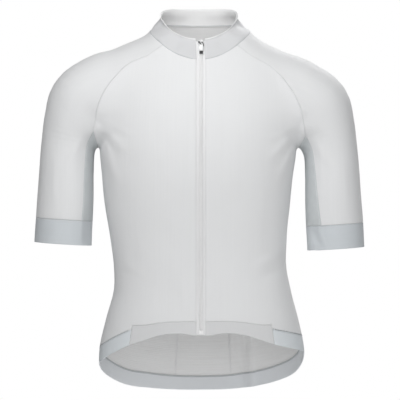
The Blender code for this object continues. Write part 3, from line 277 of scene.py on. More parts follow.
@dataclass(frozen=True)
class JerseyForm:
    """Outside of the cloth, as a distance that is negative inside it."""

    power: float = 2.3
    arm_steps: int = 56
    right_out: float = 0.002
    right_up: float = 0.0085
    right_fade: Pair = (0.065, 0.185)
    right_slope: Triple = (0.138, 0.027, 0.0038)
    arm_reach: float = 0.11
    arm_low: float = -0.22
    ripple: float = 0.00022
    fold_fade: float = 0.03
    fold_power: float = 1.5
    longest_step: float = 0.02
    least_slope: float = 0.05
    outside: float = 0.25
    sections: Points = field(init=False)

    def __post_init__(self) -> None:
        """Works out the closely spaced arm sections."""
        centres = np.stack([ARM["across"], ARM["forward"], ARM["height"]], axis=1)
        length = distances(centres)
        places = np.linspace(0.0, length[-1], self.arm_steps + 1)
        found = np.stack([curve(places, length, ARM[name]) for name in ARM], axis=1)
        object.__setattr__(self, "sections", found)

    def trunk_section(self, height: Points) -> list[Points]:
        """Half width, front depth, back depth and lean of the trunk at a height."""
        return [curve(height, TRUNK["height"], TRUNK[name]) for name in list(TRUNK)[1:]]

    def trunk_distance(self, points: Points) -> Points:
        """Distance of points from the trunk.

        Args:
            points: Rows of places.

        Returns:
            The distance of each.
        """
        half_width, front, back, lean = self.trunk_section(points[:, 2])
        across = points[:, 0] - lean
        depth = np.where(points[:, 1] < 0, front, back)
        share = (np.abs(across) / half_width) ** self.power + (np.abs(points[:, 1]) / depth) ** self.power
        share = np.maximum(share ** (1 / self.power), 1e-3)
        return np.hypot(across, points[:, 1]) * (1 - 1 / share)

    def right_shift(self, across: Points) -> tuple[Points, Points]:
        """How far out and up the wearer's right arm sits from the left one's mirror image.

        Args:
            across: Distances from the middle.

        Returns:
            The shifts out and up.
        """
        share = smoothstep(across, *self.right_fade)
        middle, width, swing = self.right_slope
        off = (across - middle) / width
        return self.right_out * share, self.right_up * share - swing * off * np.exp(-off ** 2)

    def arm_distance(self, points: Points) -> Points:
        """Distance of points from the arm on their own side.

        Args:
            points: Rows of places.

        Returns:
            The distance of each.
        """
        wearer_right = points[:, 0] < 0
        out, up = self.right_shift(np.abs(points[:, 0]))
        across = np.abs(points[:, 0]) - np.where(wearer_right, out, 0.0)
        height = points[:, 2] - np.where(wearer_right, up, 0.0)
        low, high = self.sections[:-1], self.sections[1:]
        run_x, run_z = high[:, 0] - low[:, 0], high[:, 2] - low[:, 2]
        off_x, off_z = across[:, None] - low[:, 0], height[:, None] - low[:, 2]
        off_y = (points[:, 1:2] - low[:, 1]) / ((low[:, 4] + high[:, 4]) / 2)
        t = np.clip((off_x * run_x + off_z * run_z) / (run_x ** 2 + run_z ** 2), 0, 1)
        gap = np.sqrt((off_x - t * run_x) ** 2 + off_y ** 2 + (off_z - t * run_z) ** 2)
        return (gap - low[:, 3] - t * (high[:, 3] - low[:, 3])).min(axis=1)

    def rise(self, points: Points) -> Points:
        """How far folds, creases and a faint ripple raise the cloth at points.

        Args:
            points: Rows of places.

        Returns:
            The rise at each.
        """
        rise = np.zeros(len(points))
        for x0, z0, x1, z1, face, width, top, bow in zip(*RIDGES.values()):
            run_x, run_z = x1 - x0, z1 - z0
            length = math.hypot(run_x, run_z)
            off_x, off_z = points[:, 0] - x0, points[:, 2] - z0
            t = np.clip((off_x * run_x + off_z * run_z) / length ** 2, 0, 1)
            along = np.sin(math.pi * t) ** self.fold_power
            away = (off_x * run_z - off_z * run_x) / length - bow * 4 * t * (1 - t)
            near = np.clip(face * points[:, 1] / self.fold_fade, 0, 1)
            rise += top * along * np.exp(-(away / width) ** 2) * near
        x, y, z = points.T
        wave = np.sin(61 * x + 23 * z + 1.3) * np.sin(47 * z - 19 * y + 0.4)
        wave += 0.6 * np.sin(118 * x - 37 * y + 2.1) * np.sin(83 * z + 41 * x)
        return rise + self.ripple * wave

    def distance(self, points: Points) -> Points:
        """Distance of points from the outside of the cloth.

        Args:
            points: Rows of places.

        Returns:
            The distance of each.
        """
        trunk = self.trunk_distance(points)
        level = trunk.copy()
        near = (np.abs(points[:, 0]) > self.arm_reach) | (points[:, 2] > self.arm_low)
        arm = self.arm_distance(points[near])
        softness = curve(points[near, 2], JOIN["height"], JOIN["softness"])
        blend = np.maximum(softness - np.abs(trunk[near] - arm), 0) / softness
        level[near] = np.minimum(trunk[near], arm) - blend ** 3 * softness / 6
        return level - self.rise(points)

    def slope(self, points: Points, base: Points | None = None) -> Points:
        """Slope of the distance at points, from one side if the distance there is given.

        Args:
            points: Rows of places.
            base: The distance at those places, where it is already known.

        Returns:
            The slope at each place.
        """
        small = 2e-4
        found = np.empty_like(points)
        for axis in range(3):
            shift = np.zeros(3)
            shift[axis] = small
            if base is None:
                rise = self.distance(points + shift) - self.distance(points - shift)
                found[:, axis] = rise / (2 * small)
            else:
                found[:, axis] = (self.distance(points + shift) - base) / small
        return found

    def project(self, points: Points, rounds: int = 6) -> Points:
        """Moves points onto the form.

        Args:
            points: Places in any grid.
            rounds: Steps towards the form.

        Returns:
            The moved places, in the same grid.
        """
        shape = np.shape(points)
        moved = np.array(points, dtype=float).reshape(-1, 3)
        for _ in range(rounds):
            base = self.distance(moved)
            slope = self.slope(moved, base)
            steep = np.maximum((slope ** 2).sum(axis=1), self.least_slope)
            moved -= slope * np.clip(base / steep, -self.longest_step, self.longest_step)[:, None]
        return moved.reshape(shape)

    def outward(self, points: Points) -> Points:
        """Unit directions out of the form."""
        return unit(self.slope(np.reshape(points, (-1, 3)))).reshape(np.shape(points))

    def cast(self, across: Points, height: Points, face: Face) -> Points:
        """Points of the form's front or back at places seen from there.

        Args:
            across: The places' X.
            height: The places' Z.
            face: The side that is looked at.

        Returns:
            The points seen.
        """
        across, height = np.broadcast_arrays(np.asarray(across, float), np.asarray(height, float))
        outside, inside = np.full(across.shape, self.outside * face.value), np.zeros(across.shape)
        for _ in range(32):
            middle = (outside + inside) / 2
            spot = np.stack([across, middle, height], axis=-1).reshape(-1, 3)
            clear = self.distance(spot).reshape(across.shape) > 0
            outside, inside = np.where(clear, middle, outside), np.where(clear, inside, middle)
        return np.stack([across, (outside + inside) / 2, height], axis=-1)


FORM = JerseyForm()


# ---- lines


def shares_of(line: Points) -> Points:
    """Share of its whole length at each point of a line, or of each line of several."""
    length = distances(line)
    return length / length[..., -1:]


def length_of(line: Points) -> float:
    """Length of a line."""
    return float(np.linalg.norm(np.diff(line, axis=0), axis=1).sum())


def even(cells: int) -> Points:
    """Even shares from 0 to 1."""
    return np.linspace(0, 1, cells + 1)


def read_line(line: Points, shares: Points) -> Points:
    """Points of a line at shares of its length."""
    places = shares_of(line)
    return np.stack([np.interp(shares, places, line[:, axis]) for axis in range(line.shape[1])], axis=1)


def eased(anchors: Points, count: int = 48) -> Points:
    """Smooth line through a few anchors."""
    places = shares_of(anchors)
    return np.stack([curve(even(count), places, anchors[:, axis]) for axis in range(anchors.shape[1])], axis=1)


def stretch_all(anchors: Points, shares: Points) -> Points:
    """Lines on the form through rough anchors, whose ends stay put.

    Args:
        anchors: A row of anchors for each line.
        shares: For each line, the shares of its length where it gets a point.

    Returns:
        The points of each line.
    """
    lines = anchors
    rounds = 5
    while lines.shape[1] < 1.5 * shares.shape[1]:
        longer = np.empty((len(lines), 2 * lines.shape[1] - 1, 3))
        longer[:, 0::2] = lines
        longer[:, 1::2] = FORM.project((lines[:, 1:] + lines[:, :-1]) / 2, rounds)
        lines = longer
        rounds = 3 if lines.shape[1] > 16 else 5
    points = np.array([read_line(line, share) for line, share in zip(lines, shares)])
    points[:, 1:-1] = FORM.project(points[:, 1:-1], 3)
    return points


def stretch(anchors: Points, shares: Points) -> Points:
    """Line on the form through rough anchors, with a point at each share of its length."""
    return stretch_all(np.asarray(anchors, float)[None], np.asarray(shares, float)[None])[0]


def sheet_between(left: Points, right: Points, bottom: Points, top: Points) -> Points:
    """Grid of points on the form between four borders, each border's bend fading towards the opposite one.

    Args:
        left: The left border, from bottom to top.
        right: The right border, from bottom to top.
        bottom: The lower border, from left to right.
        top: The upper border, from left to right.

    Returns:
        The grid, rows from bottom to top.
    """
    up = even(len(left) - 1)[:, None, None]
    low, high = shares_of(bottom), shares_of(top)
    u = (low + (high - low) * up[:, :, 0])[:, :, None]
    from_rows = (1 - up) * bottom + up * top
    from_sides = (1 - u) * left[:, None] + u * right[:, None]
    corners = (1 - up) * ((1 - u) * bottom[0] + u * bottom[-1]) + up * ((1 - u) * top[0] + u * top[-1])
    grid = from_rows + from_sides - corners
    grid[1:-1, 1:-1] = FORM.project(grid[1:-1, 1:-1])
    grid[0], grid[-1], grid[:, 0], grid[:, -1] = bottom, top, left, right
    return grid


def sheet_over(left: Points, middle: Points, right: Points, bottom: Points, top: Points) -> Points:
    """Grid of points on the form whose rows run from a left border over a middle line to a right border.

    Args:
        left: The left border, from bottom to top.
        middle: A line that the rows run over, from bottom to top.
        right: The right border, from bottom to top.
        bottom: The lower border, from left to right.
        top: The upper border, from left to right.

    Returns:
        The grid, rows from bottom to top.
    """
    guides = np.arange(0, len(left), LINES.fine)
    low, high = shares_of(bottom), shares_of(top)
    rows = even(len(left) - 1)[guides[1:-1], None]
    inner = stretch_all(np.stack([left, middle, right], axis=1)[guides[1:-1]], low + (high - low) * rows)
    coarse = np.concatenate([bottom[None], inner, top[None]])
    weights = [curve(np.arange(len(left)), guides, spike) for spike in np.eye(len(guides))]
    grid = np.tensordot(np.stack(weights, axis=1), coarse, axes=1)
    u = (low + (high - low) * even(len(left) - 1)[:, None])[:, :, None]
    grid += (left - grid[:, 0])[:, None] * np.clip(1 - 2 * u, 0, 1)
    grid += (right - grid[:, -1])[:, None] * np.clip(2 * u - 1, 0, 1)
    grid[1:-1, 1:-1] = FORM.project(grid[1:-1, 1:-1])
    grid[0], grid[-1], grid[:, 0], grid[:, -1] = bottom, top, left, right
    return grid


def ways(line: Points, out: Points) -> tuple[Points, Points]:
    """Unit directions along a line and to its left, seen from outside the cloth."""
    along = unit(np.gradient(line, axis=0))
    return along, unit(np.cross(out, along))


def grid_normals(grid: Points) -> Points:
    """Unit directions out of a grid, from its own neighbours."""
    return unit(np.cross(np.gradient(grid, axis=1), np.gradient(grid, axis=0)))


@dataclass(frozen=True)
class Lines:
    """Seam lines and edges that the pieces share, each with its own even number of cells."""

    fine: int = 6
    neck_half_width: float = 0.078
    neck_front: float = 0.068
    neck_back: float = 0.065
    neck_height: Triple = (-0.0012, -0.0355, -0.0083)
    front_seam: float = math.radians(49)
    back_seam: float = math.radians(125)
    armpit: Triple = (0.178, 0.0, -0.185)
    under_front: Pair = (45, 58)
    under_front_right: Pair = (44, 48)
    under_back: Pair = (45, 55)
    under_seam_top: float = -0.205
    under_middle_top: float = -0.215
    cuff_seam: float = -0.3262
    cuff_edge: float = -0.3684
    cuff_tilt: float = 0.065
    arm_hang_top: float = -0.12
    side_seam_drop: float = 0.03
    ridge_margin: float = 0.02
    rows_body: int = 14
    rows_yoke: int = 11
    rows_under: int = 3
    rows_arm: int = 7
    columns_sleeve: int = 14
    zip_x: float = 0.0015
    zip_gap: float = 0.0078
    front_fold: float = 0.0165

    def neckline(self, angles: Points) -> Points:
        """Points of the neckline on the form, at angles from the front.

        Args:
            angles: Radians from the front.

        Returns:
            The points.
        """
        base, swing, dip = self.neck_height
        depth = np.where(np.cos(angles) > 0, self.neck_front, self.neck_back)
        height = base + swing * np.cos(angles) + dip * np.cos(2 * angles)
        ring = [self.neck_half_width * np.sin(angles), -depth * np.cos(angles), height]
        return FORM.project(np.stack(ring, axis=-1))

    def hem(self, angles: Points, side: Side, band: str | None = None) -> Points:
        """Points of the hem's lower edge, or of the upper edge of a band on it.

        Args:
            angles: Degrees from the front.
            side: The side of the wearer.
            band: The column of the hem's table with the band's height.

        Returns:
            The points.
        """
        height = curve(angles, HEM["angle"], HEM[f"{side.word}_edge"])
        if band:
            height = height + curve(angles, HEM["angle"], HEM[band])
        half_width, front, back, lean = FORM.trunk_section(height)
        turn = np.radians(angles)
        depth = np.where(np.cos(turn) > 0, front, back)
        power = FORM.power
        share = (np.abs(np.sin(turn)) / half_width) ** power + (np.abs(np.cos(turn)) / depth) ** power
        reach = share ** (-1 / power)
        across = side.value * reach * np.sin(turn) + lean
        return FORM.project(np.stack([across, -reach * np.cos(turn), height], axis=-1))

    def arm(self, side: Side, angle: Points, height: Points) -> Points:
        """Points of the sleeve round the arm, on a cut that tilts a little.

        Args:
            side: The side of the wearer.
            angle: Radians from the arm's inner side, front positive.
            height: The cut's height at the arm's middle.

        Returns:
            The points.
        """
        up = FORM.right_up if side is Side.RIGHT else 0.0
        out = FORM.right_out if side is Side.RIGHT else 0.0
        falling = FORM.sections[FORM.sections[:, 2] < self.arm_hang_top][::-1]
        read = [np.interp(height, falling[:, 2], falling[:, column]) for column in (0, 1, 3, 4)]
        across, forward, radius, depth = read
        offset_x = -side.value * radius * np.cos(angle)
        level = height + up + side.value * offset_x * self.cuff_tilt
        x = side.value * (across + out) + offset_x
        return FORM.project(np.stack([x, forward - depth * radius * np.sin(angle), level], axis=-1))

    def armpit_point(self, side: Side) -> Points:
        """Top of the armpit.

        Args:
            side: The side of the wearer.

        Returns:
            The point.
        """
        x, y, z = self.armpit
        out, up = (FORM.right_out, FORM.right_up) if side is Side.RIGHT else (0.0, 0.0)
        return FORM.project([[side.value * (x + out), y, z + up]])[0]

    def raglan(self, side: Side, face: Face) -> Points:
        """Raglan seam from the armpit to the neckline. Its first cells border the under-sleeve panel.

        Args:
            side: The side of the wearer.
            face: The front seam or the back one.

        Returns:
            The seam's points.
        """
        name = face.name.lower()
        rough = eased(np.stack([RAGLAN[f"{name}_x"], RAGLAN[f"{name}_z"]], axis=1))
        along, height = rough.T
        if side is Side.RIGHT:
            out, up = FORM.right_shift(along)
            along, height = along + out, height + up
        seam = FORM.cast(side.value * along, height, face)
        angle = self.front_seam if face is Face.FRONT else self.back_seam
        top = self.neckline(np.array([side.value * angle]))
        low = stretch([self.armpit_point(side), seam[0]], even(self.rows_under * self.fine))
        high_cells = (self.rows_yoke - self.rows_under) * self.fine
        high = stretch(np.concatenate([seam, top]), even(high_cells))
        return np.concatenate([low, high[1:]])

    def flank(self, side: Side) -> Points:
        """Side seam from the hem band to the armpit.

        Args:
            side: The side of the wearer.

        Returns:
            The seam's points.
        """
        low = self.hem(np.array([90.0]), side, "grip_band")[0]
        heights = np.linspace(low[2], self.armpit[2] - self.side_seam_drop, 8)[1:]
        half_width, _, _, lean = FORM.trunk_section(heights)
        between = FORM.project(np.stack([side.value * half_width + lean, 0 * heights, heights], axis=1))
        anchors = eased(np.concatenate([[low], between, [self.armpit_point(side)]]))
        return stretch(anchors, even(self.rows_body * self.fine))

    def under_angles(self, side: Side, face: Face) -> Pair:
        """Angles of the under-sleeve panel's seam round the arm, at its top and at the cuff, in radians.

        Args:
            side: The side of the wearer.
            face: The front seam or the back one.

        Returns:
            The two angles.
        """
        top, low = self.under_front if face is Face.FRONT else self.under_back
        if side is Side.RIGHT and face is Face.FRONT:
            top, low = self.under_front_right
        return math.radians(top), math.radians(low)

    def under(self, side: Side, face: Face, start: Points) -> Points:
        """Seam of the under-sleeve panel, from the cuff up to its start on the raglan seam.

        Args:
            side: The side of the wearer.
            face: The front seam or the back one.
            start: Its upper end.

        Returns:
            The seam's points.
        """
        top, low = self.under_angles(side, face)
        heights = np.linspace(self.cuff_seam, self.under_seam_top, 6)
        angles = -face.value * np.linspace(low, top, 6)
        anchors = np.concatenate([self.arm(side, angles, heights), [start]])
        return stretch(eased(anchors), even(self.rows_arm * self.fine))

    def ridge(self, side: Side, low: Points, top: Points, points: int) -> Points:
        """Outer ridge of a sleeve from the cuff over the shoulder to the neckline.

        Args:
            side: The side of the wearer.
            low: The ridge's point on the cuff's seam.
            top: The ridge's point on the neckline.
            points: How many points the ridge gets.

        Returns:
            The ridge's points.
        """
        sections = FORM.sections
        out, up = FORM.right_shift(sections[:, 0]) if side is Side.RIGHT else (0.0, 0.0)
        way = unit(np.gradient(sections[:, [0, 2]], axis=0))
        across = sections[:, 0] + out - way[:, 1] * sections[:, 3]
        height = sections[:, 2] + up + way[:, 0] * sections[:, 3]
        margin = self.ridge_margin
        chosen = (height > low[2] + margin) & (across > self.neck_half_width + margin)
        rough = np.stack([side.value * across, sections[:, 1], height], axis=1)[chosen][::-1]
        anchors = eased(np.concatenate([[low], FORM.project(rough[::4]), [top]]))
        return stretch(anchors, even(points - 1))


LINES = Lines()


# ---- finishes


@dataclass(frozen=True)
class Finish:
    """Base of every finish: a Principled material whose pattern comes from a piece's UV map, in metres."""

    name: str
    colour: Triple
    roughness: float = 0.7
    metallic: float = 0.0
    specular: float = 0.3
    sheen: float = 0.0
    sheen_roughness: float = 0.4
    variation: float = 0.03

    def pattern(self, kit: "NodeKit") -> tuple[Socket, Socket, float]:
        """Height and tone of the finish's own pattern, and the pattern's depth in metres."""
        grain = kit.noise(kit.object_place, 900.0, 3.0)
        return grain, kit.noise(kit.object_place, 35.0, 2.0), 0.00003

    def make(self) -> bpy.types.Material:
        """Builds the material.

        Returns:
            The material.
        """
        made = bpy.data.materials.new(self.name)
        made.use_nodes = True
        kit = NodeKit(made)
        height, tone, depth = self.pattern(kit)
        steady = {"Metallic": self.metallic, "Specular IOR Level": self.specular, "Sheen Weight": self.sheen,
                  "Sheen Roughness": self.sheen_roughness}
        for name, level in steady.items():
            kit.feed(kit.shader.inputs[name], level)
        kit.tint(tone, self.colour, self.variation)
        kit.roughen(tone, self.roughness)
        kit.bump(height, depth)
        return made


class NodeKit:
    """Short names for the nodes that the finishes use."""

    def __init__(self, made: bpy.types.Material) -> None:
        """Starts from the material's own shader.

        Args:
            made: The material.
        """
        self.tree = made.node_tree
        self.shader = self.tree.nodes["Principled BSDF"]
        place = self.tree.nodes.new("ShaderNodeTexCoord")
        self.object_place, self.uv_place = place.outputs["Object"], place.outputs["UV"]

    def feed(self, entry: Socket, value: Socket | float | Sequence[float]) -> None:
        """Links a pattern to an input, or sets a number on it.

        Args:
            entry: The input.
            value: The pattern or the number.
        """
        if isinstance(value, Socket):
            self.tree.links.new(value, entry)
        else:
            entry.default_value = value

    def add(self, kind: str, output: str | int, inputs: dict, **options: str) -> Socket:
        """Adds a node.

        Args:
            kind: Its type.
            output: The output that is used.
            inputs: A pattern or a number for each input.
            options: Its settings.

        Returns:
            The output.
        """
        node = self.tree.nodes.new(f"ShaderNode{kind}")
        for name, option in options.items():
            setattr(node, name, option)
        for name, value in inputs.items():
            self.feed(node.inputs[name], value)
        return node.outputs[output]

    def mapped(self, place: Socket, scale: Triple, turn: float = 0.0) -> Socket:
        """A place scaled, and turned in its plane."""
        return self.add("Mapping", "Vector", {"Vector": place, "Scale": scale, "Rotation": (0.0, 0.0, turn)})

    def noise(self, place: Socket, scale: float, detail: float) -> Socket:
        """Cloudy pattern from 0 to 1."""
        return self.add("TexNoise", "Fac", {"Vector": place, "Scale": scale, "Detail": detail})

    def bands(self, place: Socket, period: float, axis: str, wobble: float = 0.0) -> Socket:
        """Soft parallel ribs from 0 to 1, a period apart in metres."""
        inputs = {"Vector": place, "Scale": math.pi / (10 * period), "Distortion": wobble, "Detail": 1.0}
        return self.add("TexWave", "Fac", inputs, wave_type="BANDS", bands_direction=axis)

    def math(self, operation: str, first: Socket, second: Socket | float) -> Socket:
        """One sum on two patterns, or on a pattern and a number."""
        return self.add("Math", "Value", {0: first, 1: second}, operation=operation)

    def ramp(self, value: Socket, low: float, high: float) -> Socket:
        """A pattern stretched so that low becomes 0 and high becomes 1."""
        inputs = {"Value": value, "From Min": low, "From Max": high}
        return self.add("MapRange", "Result", inputs, interpolation_type="SMOOTHSTEP")

    def tint(self, tone: Socket, colour: Triple, variation: float) -> None:
        """Colours the shader between a darker and a lighter tone of one colour.

        Args:
            tone: The pattern of the tone.
            colour: The colour between the two.
            variation: How far they lie from it, as a share.
        """
        dark = [level * (1 - variation) for level in colour]
        light = [min(1.0, level * (1 + variation)) for level in colour]
        inputs = {"Factor": tone, 6: (*dark, 1.0), 7: (*light, 1.0)}
        self.feed(self.shader.inputs["Base Color"], self.add("Mix", 2, inputs, data_type="RGBA"))

    def roughen(self, tone: Socket, roughness: float, swing: float = 0.05) -> None:
        """Varies the shader's roughness a little with the tone."""
        inputs = {"Value": tone, "To Min": roughness - swing, "To Max": roughness + swing}
        self.feed(self.shader.inputs["Roughness"], self.add("MapRange", "Result", inputs))

    def bump(self, height: Socket, depth: float) -> None:
        """Raises the surface by a pattern, as deep as depth in metres."""
        inputs = {"Strength": 1.0, "Distance": depth, "Height": height}
        self.feed(self.shader.inputs["Normal"], self.add("Bump", "Normal", inputs))


@dataclass(frozen=True)
class Knit(Finish):
    """Knitted cloth: stitch columns across, courses up, and faint streaks along the columns."""

    wale: float = 0.0011
    course: float = 0.0008
    depth: float = 0.0001
    streak: float = 0.45
    course_share: float = 0.35
    streak_scale: Pair = (260.0, 5.0)

    def pattern(self, kit: NodeKit) -> tuple[Socket, Socket, float]:
        """Ribs of the knit for the height, and streaks along them for the tone.

        Args:
            kit: The material's nodes.

        Returns:
            The height, the tone and the depth.
        """
        wales = kit.bands(kit.uv_place, self.wale, "X", 0.25)
        courses = kit.bands(kit.uv_place, self.course, "Y", 0.25)
        height = kit.math("ADD", wales, kit.math("MULTIPLY", courses, self.course_share))
        streaks = kit.noise(kit.mapped(kit.uv_place, (*self.streak_scale, 1.0)), 1.0, 2.0)
        height = kit.math("ADD", height, kit.math("MULTIPLY", streaks, self.streak * 4))
        blotch = kit.noise(kit.object_place, 18.0, 2.0)
        tone = kit.math("ADD", kit.math("MULTIPLY", streaks, 0.6), kit.math("MULTIPLY", blotch, 0.4))
        return height, tone, self.depth


@dataclass(frozen=True)
class MeshKnit(Finish):
    """Open ribbed mesh with small staggered eyelets."""

    eyelet: float = 0.0021
    depth: float = 0.00028

    def pattern(self, kit: NodeKit) -> tuple[Socket, Socket, float]:
        """Eyelets sunk below ribs.

        Args:
            kit: The material's nodes.

        Returns:
            The height, the tone and the depth.
        """
        turned = kit.mapped(kit.uv_place, (1.0, 1.0, 1.0), math.pi / 4)
        first = kit.bands(turned, self.eyelet, "X")
        second = kit.bands(turned, self.eyelet, "Y")
        net = kit.ramp(kit.math("MULTIPLY", first, second), 0.15, 0.75)
        tone = kit.math("SUBTRACT", kit.noise(kit.object_place, 60.0, 2.0), kit.math("MULTIPLY", net, 0.9))
        return kit.math("MULTIPLY", net, -1.0), tone, self.depth


@dataclass(frozen=True)
class Elastic(Finish):
    """Elastic band with close ribs round it and fine ribs along it."""

    rib: float = 0.0016
    depth: float = 0.00014

    def pattern(self, kit: NodeKit) -> tuple[Socket, Socket, float]:
        """Ribs for the height, and faint clouding for the tone.

        Args:
            kit: The material's nodes.

        Returns:
            The height, the tone and the depth.
        """
        across = kit.bands(kit.uv_place, self.rib, "Y", 0.2)
        along = kit.bands(kit.uv_place, self.rib * 0.6, "X", 0.2)
        height = kit.math("ADD", across, kit.math("MULTIPLY", along, 0.4))
        tone = kit.math("ADD", kit.math("MULTIPLY", across, 0.4),
                        kit.math("MULTIPLY", kit.noise(kit.object_place, 45.0, 2.0), 0.6))
        return height, tone, self.depth


@dataclass(frozen=True)
class Woven(Finish):
    """Woven tape with a herringbone twill."""

    yarn: float = 0.0007
    depth: float = 0.0001

    def pattern(self, kit: NodeKit) -> tuple[Socket, Socket, float]:
        """Slanting ribs for the height and the tone.

        Args:
            kit: The material's nodes.

        Returns:
            The height, the tone and the depth.
        """
        first = kit.bands(kit.mapped(kit.uv_place, (1.0, 1.0, 1.0), math.radians(38)), self.yarn, "X")
        second = kit.bands(kit.uv_place, self.yarn * 1.4, "Y")
        height = kit.math("ADD", first, kit.math("MULTIPLY", second, 0.5))
        return height, kit.math("MULTIPLY", height, 0.6), self.depth


@dataclass(frozen=True)
class Moulded(Finish):
    """Moulded plastic or lacquered metal with fine wear."""

    grain: float = 1400.0
    depth: float = 0.000012

    def pattern(self, kit: NodeKit) -> tuple[Socket, Socket, float]:
        """Fine grain for the height, and soft clouding for the tone."""
        place = kit.object_place
        return kit.noise(place, self.grain, 4.0), kit.noise(place, 220.0, 3.0), self.depth


WHITE = Knit("white_knit_face", (0.84, 0.845, 0.85), 0.68, sheen=0.12, variation=0.025)
# Painted shade: the front hem is a darker copy of the body's white knit, for the band's dimmer tone low down.
HEM_WHITE_SHADED = Knit("hem_knit_face_painted_shade", (0.74, 0.745, 0.75), 0.68, sheen=0.1, variation=0.02)
# Painted shade: the sleeves are a slightly darker copy of the body's white knit, for their dimmer tone.
SLEEVE_WHITE_SHADED = Knit("sleeve_knit_face_painted_shade", (0.81, 0.815, 0.82), 0.68, sheen=0.12, variation=0.025)
# Painted light: the inside of the white knit is a lighter copy of its face, for the light that reaches inside
# the hollow.
WHITE_REAR_LIT = Knit("white_knit_rear_painted_light", (0.95, 0.95, 0.945), 0.75, variation=0.09, wale=0.0016, course=0.0032,
                  course_share=0.8, depth=0.00016, streak=0.5, streak_scale=(7.0, 260.0))
# Painted shade: the collar's face is a darker copy of the white knit, for the collar's dimmer tone.
COLLAR_FACE_SHADED = Knit("collar_knit_face_painted_shade", (0.72, 0.725, 0.735), 0.66, sheen=0.12, variation=0.02, wale=0.0009)
# Painted light: the collar's inside and its top band take a lighter copy of the same knit.
COLLAR_REAR_LIT = Knit("collar_knit_rear", (0.915, 0.915, 0.915), 0.68, variation=0.02, wale=0.0009)
POCKET_FACE = Knit("pocket_knit_face", (0.83, 0.835, 0.845), 0.7, sheen=0.1, variation=0.03, wale=0.001)
# Under-sleeve mesh panel: the eyelet mesh is its own, but its grey tone is painted shade for the inner sleeve,
# which faces away from the light.
UNDER_MESH_SHADED = MeshKnit("under_sleeve_mesh", (0.66, 0.69, 0.7), 0.72, variation=0.1)
CUFF_BAND = Elastic("cuff_elastic_face", (0.655, 0.69, 0.715), 0.62, sheen=0.08, variation=0.04)
GRIP_BAND = Elastic("grip_elastic_face", (0.78, 0.82, 0.845), 0.64, variation=0.04, rib=0.0013)
# Painted light: the gripper's inside is a lighter copy of its face, for light reaching the inside of the hem.
GRIP_REAR_LIT = Elastic("grip_elastic_rear", (0.84, 0.865, 0.89), 0.64, variation=0.03, rib=0.0013)
SEWING = Moulded("sewing_thread", (0.84, 0.84, 0.85), 0.5, specular=0.4, depth=0.00003)
GREY_SEWING = Moulded("grey_sewing_thread", (0.5, 0.53, 0.55), 0.5, specular=0.4, depth=0.00003)
# Painted shadow: near-black thread for the gripper's seam line, in place of the seam's shadow.
PAINTED_SEAM_SHADOW = Moulded("dark_sewing_thread", (0.26, 0.28, 0.3), 0.5, specular=0.4, depth=0.00003)
OVERLOCK = Woven("overlocked_edge", (0.9, 0.9, 0.905), 0.7, yarn=0.0012, depth=0.0002, variation=0.08)
# Grey overlock inside the cuffs; the same dark strip inside the gripper seam is a painted shadow line under the
# band's edge.
GREY_OVERLOCK_AND_SHADOW = Woven("grey_overlocked_edge", (0.6, 0.62, 0.64), 0.7, yarn=0.0012, depth=0.0002, variation=0.08)
TAPE = Woven("zip_tape_weave", (0.87, 0.87, 0.875), 0.6, variation=0.05)
TEETH = Moulded("zip_teeth_plastic", (0.95, 0.95, 0.95), 0.32, specular=0.5)
SLIDER_METAL = Moulded("slider_lacquer", (0.86, 0.86, 0.865), 0.3, specular=0.5)
BAIL_METAL = Moulded("bail_metal", (0.018, 0.018, 0.019), 0.48, metallic=0.2, specular=0.3)
TAB_WHITE = Moulded("pull_tab_plastic", (0.9, 0.9, 0.9), 0.3, specular=0.5)
TIP_BLACK = Moulded("pull_tip_plastic", (0.022, 0.022, 0.024), 0.42, specular=0.45)


# ---- making pieces


